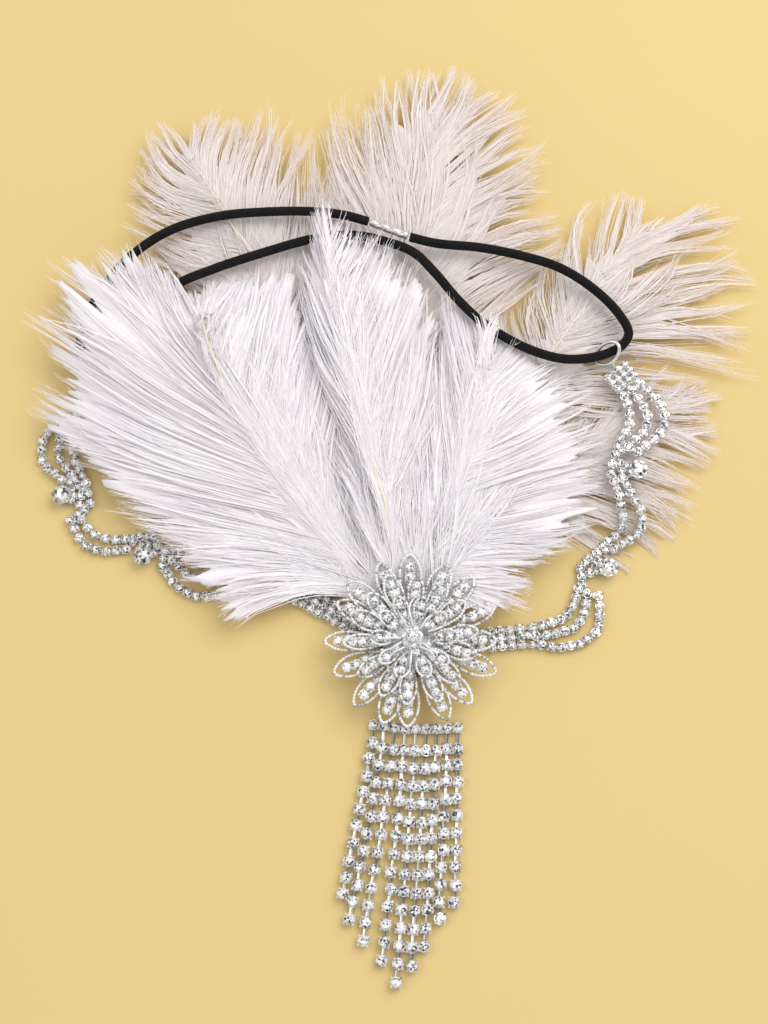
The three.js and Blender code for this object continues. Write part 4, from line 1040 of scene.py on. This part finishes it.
# barbs to the left and right and over the quill; spacing of the lock tips; how far out the dense down reaches;
# height of the quill in the vane at each station; lowest and highest barb tip; half width
# of a barb; end of the quill and the stretch of it that stays in sight, in mm
STYLE = {
    "plume_front_left": dict(barbs=(475, 215), over=250, lock=3.0, down=(0.88, 0.9), quill=(0.5, 0.3, 0.3, 0.3, 0.35, 0.45, 0.9, 0.95, 0.6),
                             tips=(3.2, 12.5), width=0.5, end=122, bare=(200, 201), show=(90, 118), mat="front"),
    "plume_front_centre": dict(barbs=(170, 170), over=305, lock=3.0, down=(0.88, 0.88), quill=(0.5, 0.8, 0.8, 0.75, 0.5, 0.3, 0.2, 0.3, 0.5),
                               tips=(8.0, 12.0), width=0.46, end=118, bare=(26, 62), show=(300, 301), mat="front"),
    "plume_front_right": dict(barbs=(150, 340), over=230, lock=3.0, down=(0.88, 0.8), quill=(0.5, 0.3, 0.3, 0.3, 0.3, 0.3, 0.4, 0.5),
                              tips=(4.0, 13.5), width=0.48, end=88, bare=(200, 201), show=(300, 301), mat="front"),
    "plume_rear_left": dict(barbs=(190, 260), over=60, lock=3.5, down=(0.42, 0.34), cores=0.45, short=0.3, pull=(0.68, 0.97), loose=0.45, spread=(0.96, 0.06), lean=7, quill=(0.5, 0.4, 0.4, 0.4, 0.5, 0.6, 0.95, 0.95, 0.5),
                            tips=(0.8, 7.0), width=0.34, end=163, bare=(140, 164), show=(132, 164), wave=0.028, mat="rear"),
    "plume_rear_centre": dict(barbs=(200, 290), over=130, lock=3.5, down=(0.42, 0.42), cores=0.45, short=0.3, pull=(0.65, 0.96), loose=0.45, spread=(0.97, 0.055), lean=7, quill=(0.5, 0.4, 0.4, 0.4, 0.4, 0.4, 0.4, 0.5, 0.5),
                              tips=(0.8, 7.5), width=0.36, end=168, bare=(200, 201), show=(300, 301), wave=0.028, mat="rear"),
    "plume_rear_right": dict(barbs=(100, 165), over=30, lock=5.6, down=(0.25, 0.17), cores=0.35, short=0.22, pull=(0.72, 0.97), loose=0.5, spread=(0.93, 0.075), lean=9, quill=(0.5, 0.4, 0.5, 0.8, 0.98, 0.98, 0.7, 0.5),
                             tips=(0.5, 5.2), width=0.34, end=143, bare=(78, 122), show=(300, 301), wave=0.035, mat="rear"),
    "plume_rear_low": dict(barbs=(80, 170), over=20, lock=5.0, down=(0.34, 0.3), cores=0.35, short=0.25, pull=(0.7, 0.96), loose=0.5, spread=(0.94, 0.06), lean=8, quill=(0.5, 0.4, 0.4, 0.4, 0.5, 0.5, 0.5, 0.5),
                           tips=(0.5, 4.0), width=0.36, end=112, bare=(200, 201), show=(300, 301), wave=0.03, mat="rear"),
}
CORD_SAMPLES = cord_path[::2]


# The front plumes cover the elastic at the left edge and with a few tufts; elsewhere they end under it.
TUFTS = [(-32, 124, -24, 146), (-24.2, 123.1, -2.2, 138), (-45.7, 119, -43.1, 124), (-37.9, 119, -35.3, 124),
         (-2.2, 114.7, 4.5, 124), (9, 105.7, 12, 116), (18.2, 93.2, 28, 102.4), (32.3, 88.7, 35.9, 93)]


def crosses_cord(tips):
    """Whether hairs with these tips lie over the elastic."""
    out = (tips[:, 0] < -71) | ((tips[:, 0] < -56) & (tips[:, 1] < 98))
    for x0, y0, x1, y1 in TUFTS:
        out |= (tips[:, 0] > x0) & (tips[:, 0] < x1) & (tips[:, 1] > y0) & (tips[:, 1] < y1)
    return out


def clear_of_cord(points, radius, above):
    """Moves hair points off the elastic with a soft slope, over it or under it; above is one flag per hair."""
    flat = points.reshape(-1, 3)
    over = np.repeat(np.broadcast_to(above, len(points)), points.shape[1])
    rooms = CORD_DIAMETER / 2 + 0.2 + np.repeat(np.broadcast_to(radius, len(points)), points.shape[1])
    for start in range(0, len(flat), 20000):
        block = flat[start:start + 20000]
        mine, room = over[start:start + 20000], rooms[start:start + 20000]
        d2 = ((block[:, None, :2] - CORD_SAMPLES[None, :, :2]) ** 2).sum(2)
        near = d2.argmin(1)
        away = np.sqrt(d2[np.arange(len(block)), near])
        zc = CORD_SAMPLES[near, 2]
        slope = 0.32 * np.clip(away - 2.5, 0, None)
        close = away < 16
        high = np.where(close, np.maximum(block[:, 2], zc + room + 0.5 - slope), block[:, 2])
        low = np.where(close, np.minimum(block[:, 2], np.maximum(zc - room + slope * 1.6, 0.35)), block[:, 2])
        block[:, 2] = np.where(mine, high, low)
    return flat.reshape(points.shape)


def spikes(soup, base, direction, length, radius, tone, mat):
    """Closed four-faced hairs."""
    n = len(base)
    t = unit(direction)
    side = unit(np.cross(t, UP))
    top = np.cross(side, t)
    a = 2 * np.pi * np.arange(3) / 3 + math.pi / 2
    v = np.empty((n, 4, 3))
    v[:, :3] = base[:, None] + radius[:, None, None] * (np.cos(a)[:, None] * side[:, None] + 0.4 * np.sin(a)[:, None] * top[:, None])
    v[:, 3] = base + t * length[:, None]
    k = (np.arange(n) * 4)[:, None, None]
    f = np.array([(0, 1, 2), (0, 3, 1), (1, 3, 2), (2, 3, 0)])[None] + k
    soup.put(v.reshape(-1, 3), [f.reshape(-1, 3)], mat, False, np.repeat(tone, 4))


def turned(v, a):
    return np.stack([v[:, 0] * np.cos(a) - v[:, 1] * np.sin(a), v[:, 0] * np.sin(a) + v[:, 1] * np.cos(a)], 1)


def smooth_noise(r, n, reach):
    """Random values for n neighbours, evened out over a reach of neighbours; about -1 to 1."""
    x = r.normal(0, 1, n + 4 * reach)
    k = np.hanning(2 * reach + 1)
    y = np.convolve(x, k / np.sqrt((k ** 2).sum()), "same")
    return y[2 * reach:2 * reach + n]


class Vane:
    """One side of a plume: curves and heights between the guide barbs."""

    def __init__(self, r, sigma, table, style, quill):
        self.r, self.sigma, self.style, self.quill = r, sigma, style, quill
        self.g = np.array(table, float)
        gap = np.linalg.norm(np.diff(self.g[:, 1:3], axis=0), axis=1) + 0.6 * np.abs(np.diff(self.g[:, 0]))
        self.d = np.r_[0, np.cumsum(np.clip(gap, 1.5, None))]
        n = int(self.d[-1] / style["lock"]) + 2
        self.at_lock = (np.arange(n) + 0.5 + r.uniform(-0.4, 0.4, n)) * style["lock"]
        self.stretch, self.lean = np.minimum(r.normal(*style.get("spread", (0.965, 0.035)), n), 1.0), r.normal(0, style.get("lean", 5), n)
        self.level, self.shade = r.random(n), r.random(n)

    def look(self, own):
        return [np.interp(own, self.d, self.g[:, k]) for k in range(4)]

    def ends(self, own):
        s, x, y, bend = self.look(own)
        return s, self.quill["at"](s), np.stack([x, y], 1), bend

    def bow(self, root, tip, bend, t):
        """Curved lines from root to tip at lengthwise places t (n, m)."""
        chord = np.linalg.norm(tip - root, axis=1)
        way = unit(tip - root)
        angle = np.radians(np.clip(bend, -38, 42))
        p1 = root + turned(way, -self.sigma * (angle + 0.09)) * (chord * 0.36)[:, None]
        p2 = tip - turned(way, self.sigma * angle * 1.25) * (chord * 0.36)[:, None]
        u = t[..., None]
        return (1 - u) ** 3 * root[:, None] + 3 * (1 - u) ** 2 * u * p1[:, None] + 3 * (1 - u) * u ** 2 * p2[:, None] + u ** 3 * tip[:, None], chord, way

    def surface(self, s, t, z_tip, arch=0.6):
        """Height of the plume's upper side."""
        base = self.quill["z"](s) - 0.2
        top = self.quill["top"](s)
        rise = np.clip(top - np.maximum(base, z_tip) - 1.0, 0, None) * arch
        return base[:, None] * (1 - t) ** 1.2 + z_tip[:, None] * (1 - (1 - t) ** 1.2) + rise[:, None] * np.sin(np.pi * t ** 0.75)

    def mean_tip(self):
        low, high = self.style["tips"]
        return low + 0.45 * (high - low)

    def down(self, soup, reach, front):
        """Dense soft down close to the quill: a thin closed body with streaks and locks in its surface."""
        r, style = self.r, self.style
        n, m = int(self.d[-1] / (0.85 if front else 1.1)), 12
        own = np.linspace(0, self.d[-1], n)
        s, root, tip, bend = self.ends(own)
        head = self.quill["heading"](s)
        root = root - np.stack([-head[:, 1], head[:, 0]], 1) * self.sigma * 1.4
        fray = smooth_noise(r, n, 2) * 0.05 + smooth_noise(r, n, 7) * 0.04
        end = np.clip(reach + fray, 0.2, 0.95)
        t = np.linspace(0.0, 1.0, m)[None, :] * end[:, None]
        xy, chord, way = self.bow(root, tip, bend, t)
        z_tip = np.full(n, self.mean_tip())
        top = self.surface(s, t, z_tip)
        u = np.linspace(0, 1, m)[None, :]
        streak = smooth_noise(r, n, 1)[:, None] * 0.06 * np.sin(np.pi * np.clip(u * 0.9 + 0.1, 0, 1))
        streak = streak + smooth_noise(r, n, 3)[:, None] * 0.13 * u
        top = top + streak + (smooth_noise(r, n * m, 2).reshape(n, m)) * 0.05
        thick = (0.9 * (1 - u) ** 0.7 + 0.07) * (1.0 if front else 0.6)
        over = crosses_cord(tip) if front else np.zeros(n, bool)
        over = over & (tip[:, 0] < -56)
        bottom = clear_of_cord(np.concatenate([xy, (top - thick)[..., None]], 2), 0.0, True)[..., 2]
        below = clear_of_cord(np.concatenate([xy, top[..., None]], 2), 1.1 if front else 0.1, False)[..., 2]
        top = np.maximum(np.where(over[:, None], np.maximum(bottom, 0.15) + thick, below), 0.3)
        low = np.maximum(top - thick, 0.12)
        v = np.concatenate([np.concatenate([xy, top[..., None]], 2).reshape(-1, 3), np.concatenate([xy, low[..., None]], 2).reshape(-1, 3)])
        k = n * m
        i, j = np.meshgrid(np.arange(n - 1), np.arange(m - 1), indexing="ij")
        c = i * m + j
        up = np.stack([c, c + 1, c + m + 1, c + m], -1).reshape(-1, 4)
        if self.sigma < 0:
            up = up[:, ::-1]
        down = up[:, ::-1] + k
        rim = np.r_[np.arange(m), np.arange(1, n) * m + m - 1, (n - 1) * m + np.arange(m - 2, -1, -1), np.arange(n - 2, 0, -1) * m]
        a, b = rim, np.roll(rim, -1)
        side = np.stack([b, a, a + k, b + k], 1)
        if self.sigma < 0:
            side = side[:, ::-1]
        tone = np.clip(0.55 + 0.22 * smooth_noise(r, n, 2), 0.15, 1)
        face_tone = np.repeat(tone[:-1], m - 1)
        for f, shade, soft in ((up, face_tone, True), (down, face_tone, True), (side, 0.6, False)):
            soup.add(None, f, 0, soft, shade)
        soup.v.append(v)
        soup.close()
        return v[:k]

    def barbs(self, count, points, from_quill=True):
        r, style = self.r, self.style
        own = ((np.arange(count) + 0.5) / count) * self.d[-1] + r.normal(0, 0.4, count)
        own = np.clip(own, 0, self.d[-1])
        lock = np.clip(np.floor(own / style["lock"]), 0, len(self.at_lock) - 1).astype(int)
        s, _, tip, bend = self.ends(own)
        _, _, tip_lock, _ = self.ends(self.at_lock[lock])
        short = r.random(count) < style.get("short", 0.4)
        pull = np.where(short, r.uniform(0, 0.4, count), r.uniform(*style.get("pull", (0.35, 0.85)), count))[:, None]
        tip = tip + (tip_lock - tip) * pull + r.normal(0, style.get("loose", 1.0), (count, 2))
        s = np.clip(s + r.normal(0, 1.4, count), 4, style["end"] - 0.5)
        # barbs lie across the quill, but for the stretch that stays in sight
        bare = (s > style["bare"][0]) & (s < style["bare"][1])
        head = self.quill["heading"](s)
        left = np.stack([-head[:, 1], head[:, 0]], 1)
        over = np.where(bare, 0.5, -r.uniform(-1.5, 2.5, count)) if from_quill else r.uniform(-4, 4, count)
        root = self.quill["at"](s) + left * (self.sigma * over)[:, None]
        tip = root + (tip - root) * (self.stretch[lock] * np.where(short, 1.0, r.uniform(0.93, 1.03, count)))[:, None]
        stop = np.where(short, r.uniform(0.4, 0.9, count), r.uniform(0.93, 1.0, count))
        t = np.linspace(0, 1, points)[None, :] * stop[:, None]
        xy, chord, way = self.bow(root, tip, bend + self.lean[lock] + r.normal(0, 3.5, count), t)
        across = np.stack([-way[:, 1], way[:, 0]], 1)
        phase = 2 * np.pi * (self.level[lock] + 0.1 * r.random(count))
        wave = style.get("wave", 0.012) * chord[:, None] * np.sin(2 * np.pi * 1.1 * t + phase[:, None]) * t
        xy = xy + across[:, None] * wave[..., None]
        low, high = style["tips"]
        z_own = low + (high - low) * (0.7 * self.level[lock] + 0.3 * r.random(count))
        free = np.clip((t - 0.45) / 0.55, 0, 1) ** 1.5
        mean = np.full(count, self.mean_tip())
        lift = np.where(r.random(count) < 0.14, r.uniform(-3.0, -1.2, count), r.uniform(0.0, 0.32, count))
        z = self.surface(s, t, mean) + lift[:, None] * np.sin(np.pi * np.clip(t * 0.93 + 0.07, 0, 1)) ** 0.7 + (z_own - mean)[:, None] * free
        z = z + np.where(bare, 0.0, 0.32)[:, None] * (1 - t) ** 6
        z = np.maximum(z, 0.45)
        tone = np.clip(0.35 + self.shade[lock] * 0.35 + r.random(count) * 0.3, 0, 1)
        return np.concatenate([xy, z[..., None]], 2), tone, across


def down_height(cloud, points):
    """Height of the down at each point: the highest of the nearest places, kept level outside it."""
    flat = points.reshape(-1, 2)
    z, far = np.empty(len(flat)), np.empty(len(flat))
    for start in range(0, len(flat), 2000):
        d2 = ((flat[start:start + 2000, None] - cloud[None, :, :2]) ** 2).sum(2)
        near = np.argpartition(d2, 5, axis=1)[:, :5]
        z[start:start + 2000] = cloud[near, 2].max(1)
        far[start:start + 2000] = d2.min(1)
    z, far = z.reshape(points.shape[:2]), far.reshape(points.shape[:2])
    for k in range(1, z.shape[1]):
        z[:, k] = np.where(far[:, k] > 16, z[:, k - 1], z[:, k])
    # hairs span the dips between the plumes
    m = z.shape[1]
    taut = z.copy()
    for i in range(m):
        for k in range(i + 2, m):
            for j in range(i + 1, k):
                f = (j - i) / (k - i)
                taut[:, j] = np.maximum(taut[:, j], z[:, i] * (1 - f) + z[:, k] * f)
    return taut


def plume_start(name, rows, guides, style, seed):
    """Quill line, both vanes and their down."""
    r = np.random.default_rng(SEED + seed)
    rows = np.array(rows, float)
    per = 16
    line = catmull(np.c_[rows[:, :2], np.zeros(len(rows))], per)
    stations = arc(line)[::per]
    high = lambda a: np.interp(a, stations, rows[:, 5])
    low = lambda a: np.interp(a, stations, rows[:, 4])
    quill_z = lambda a: low(a) + np.interp(a, stations, style["quill"]) * (high(a) - low(a))
    place_at = lambda a: along(line, np.clip(a, 0, style["end"]))[..., :2]
    heading = lambda a: unit(place_at(np.clip(a, 0.5, style["end"] - 0.5) + 0.5) - place_at(np.clip(a, 0.5, style["end"] - 0.5) - 0.5))
    quill = {"at": place_at, "heading": heading, "z": quill_z, "top": high}
    soup = Soup()
    vanes = [Vane(r, sigma, guides[k], style, quill) for k, sigma in enumerate((1, -1))]
    tops = [v.down(soup, style["down"][k], style["mat"] == "front") for k, v in enumerate(vanes)]
    return {"name": name, "r": r, "style": style, "quill": quill, "soup": soup, "vanes": vanes, "down": np.concatenate(tops)}


def plume_finish(made, cloud):
    name, r, style, quill, soup = (made[k] for k in ("name", "r", "style", "quill", "soup"))
    front = style["mat"] == "front"
    sides = [v.barbs(style["barbs"][k], 8) for k, v in enumerate(made["vanes"])]
    over = Vane(r, 1, OVER[name], style, quill).barbs(style["over"], 8, False)
    z = down_height(cloud, over[0][..., :2])
    t = np.linspace(0, 1, 8)
    lift = r.uniform(0.1, 0.45, len(z))[:, None] * np.sin(np.pi * np.clip(t * 0.95 + 0.02, 0, 1)) ** 0.6
    over[0][..., 2] = np.maximum(z + lift - 0.25 * (t < 0.05), 0.5)
    sides.append(over)
    paths, tone, across = (np.concatenate([v[i] for v in sides]) for i in range(3))
    n, m = paths.shape[:2]
    over_cord = crosses_cord(paths[:, -1]) if front else np.zeros(n, bool)
    if name == "plume_rear_low":
        # the lowest wisps lie under the chain
        under = (paths[..., 0] > 46) & (paths[..., 1] < 36)
        paths[..., 2] = np.where(under, np.minimum(paths[..., 2], 0.4), paths[..., 2])
    room = 0.2 + r.random(n) * (0.6 if front else 0.1)
    paths = clear_of_cord(paths, room, over_cord)
    along_t = np.linspace(0, 1, m)

    # flat soft cores, widest towards their outer end
    width = style["width"] * r.uniform(0.7, 1.25, n)
    shape = np.interp(along_t, [0, 0.3, 0.55, 0.8, 0.92, 1.0], [0.2, 0.45, 0.75, 0.7, 0.32, 0.04])
    cored = r.random(n) < style.get("cores", 0.62)
    add_tubes(soup, paths[cored], (width[:, None] * shape)[cored], 4, 0, False, tone[cored], 0.2)

    # fine strands along each barb
    pick = [0, 1, 3, 4, 6, 7]
    thin = along_t[pick]
    for k in range(3):
        push = r.normal(0, 0.62, n)[:, None] * np.interp(thin, [0, 0.3, 0.9, 1], [0.6, 1.0, 0.95, 1.2])
        shift = np.stack([across[:, None, 0] * push, across[:, None, 1] * push, np.broadcast_to(r.uniform(-0.05, 0.25, n)[:, None], (n, len(pick)))], 2)
        strand = paths[:, pick] + shift
        strand[:, -1, :2] += unit(paths[:, -1, :2] - paths[:, -2, :2]) * r.uniform(-0.5, 1.3, n)[:, None]
        thick = r.uniform(0.1, 0.16, n)[:, None] * np.interp(thin, [0, 0.6, 1.0], [0.9, 1.0, 0.25])
        add_tubes(soup, clear_of_cord(strand, room - 0.1, over_cord), thick, 3, 0, False, np.clip(tone + r.normal(0, 0.08, n), 0, 1), 0.35)

    # short hairs off both edges of each barb
    q = 8
    tt = np.clip((np.arange(q) + r.random((n, q))) / q, 0.05, 0.96)
    f = tt * (m - 1)
    i = np.minimum(f.astype(int), m - 2)
    row = np.arange(n)[:, None]
    a, b = paths[row, i], paths[row, i + 1]
    at = (a + (b - a) * (f - i)[..., None]).reshape(-1, 3)
    direction = unit(b - a).reshape(-1, 3)
    hand = np.where(r.random(n * q) < 0.5, 1, -1)
    edge = np.stack([-direction[:, 1], direction[:, 0]], 1) * (hand * np.repeat(width, q) * 0.4)[:, None]
    at[:, :2] += edge
    direction = np.c_[turned(direction[:, :2], hand * np.radians(r.uniform(8, 30, n * q))), direction[:, 2] + r.normal(0, 0.05, n * q)]
    length = r.uniform(1.8, 4.6, n * q) * (1.15 - 0.6 * tt.ravel())
    if front:
        gap = np.sqrt(((at[:, None, :2] - CORD_SAMPLES[None, ::3, :2]) ** 2).sum(2).min(1))
        length = np.where(np.repeat(over_cord, q), length, np.minimum(length, np.clip(gap - 1.2, 0.3, None)))
    end_z = at[:, 2] + unit(direction)[:, 2] * length
    direction[:, 2] = np.where(end_z < 0.3, 0.05, direction[:, 2])
    spikes(soup, at, direction, length, r.uniform(0.09, 0.15, n * q), np.repeat(tone, q), 0)

    # the quill, from behind the flower to the tip
    m = 60
    a = np.linspace(0, style["end"], m)
    path = np.c_[quill["at"](a), quill["z"](a) - 0.1]
    path[:, 2] += np.where((a > style["show"][0]) & (a < style["show"][1]), 1.1, 0.0)
    path = clear_of_cord(path[None], 0.6, False)
    thick = np.interp(a / style["end"], [0, 0.15, 0.5, 0.85, 1], [0.8, 0.55, 0.34, 0.22, 0.1])
    add_tubes(soup, path, thick[None], 8, 1, True, 0.5, 0.9)
    return soup.build(f"{name}_barbs", [FEATHER_FRONT if front else FEATHER_REAR, QUILL], [name], "ostrich_feather")


started = [plume_start(name, rows, GUIDES[name], STYLE[name], 100 + index) for index, (name, rows) in enumerate(PLUMES.items())]
front_down = np.concatenate([p["down"] for p in started if p["style"]["mat"] == "front"])
for made in started:
    plume_finish(made, front_down if made["style"]["mat"] == "front" else made["down"])

# ------------------------------------------------------------ floor and light
floor = bpy.data.meshes.new("floor")
half = 2.5
floor.from_pydata([(-half, -half, -0.0002), (half, -half, -0.0002), (half, half, -0.0002), (-half, half, -0.0002)], [], [(0, 1, 2, 3)])
floor.materials.append(backdrop_material("backdrop_paper"))
floor_obj = bpy.data.objects.new("floor", floor)
bpy.context.scene.collection.objects.link(floor_obj)

world = bpy.data.worlds.new("world")
bpy.context.scene.world = world
world.use_nodes = True
background = world.node_tree.nodes["Background"]
background.inputs["Color"].default_value = (1.0, 0.985, 0.97, 1)
background.inputs["Strength"].default_value = 0.68


def softbox(name, where, target, size, power, colour=(1, 1, 1)):
    data = bpy.data.lights.new(name, "AREA")
    data.shape = "SQUARE"
    data.size = size
    data.energy = power
    data.color = colour
    obj = bpy.data.objects.new(name, data)
    from mathutils import Vector
    obj.location = where
    obj.rotation_euler = (Vector(target) - Vector(where)).to_track_quat("-Z", "Y").to_euler()
    bpy.context.scene.collection.objects.link(obj)


softbox("key", (0.5, 0.5, 0.85), (0, 0.04, 0), 0.9, 7.1, (1, 0.985, 0.96))
softbox("fill", (-0.9, 0.1, 1.1), (0, 0.04, 0), 0.8, 2.4)
bpy.context.scene.view_settings.view_transform = "Standard"
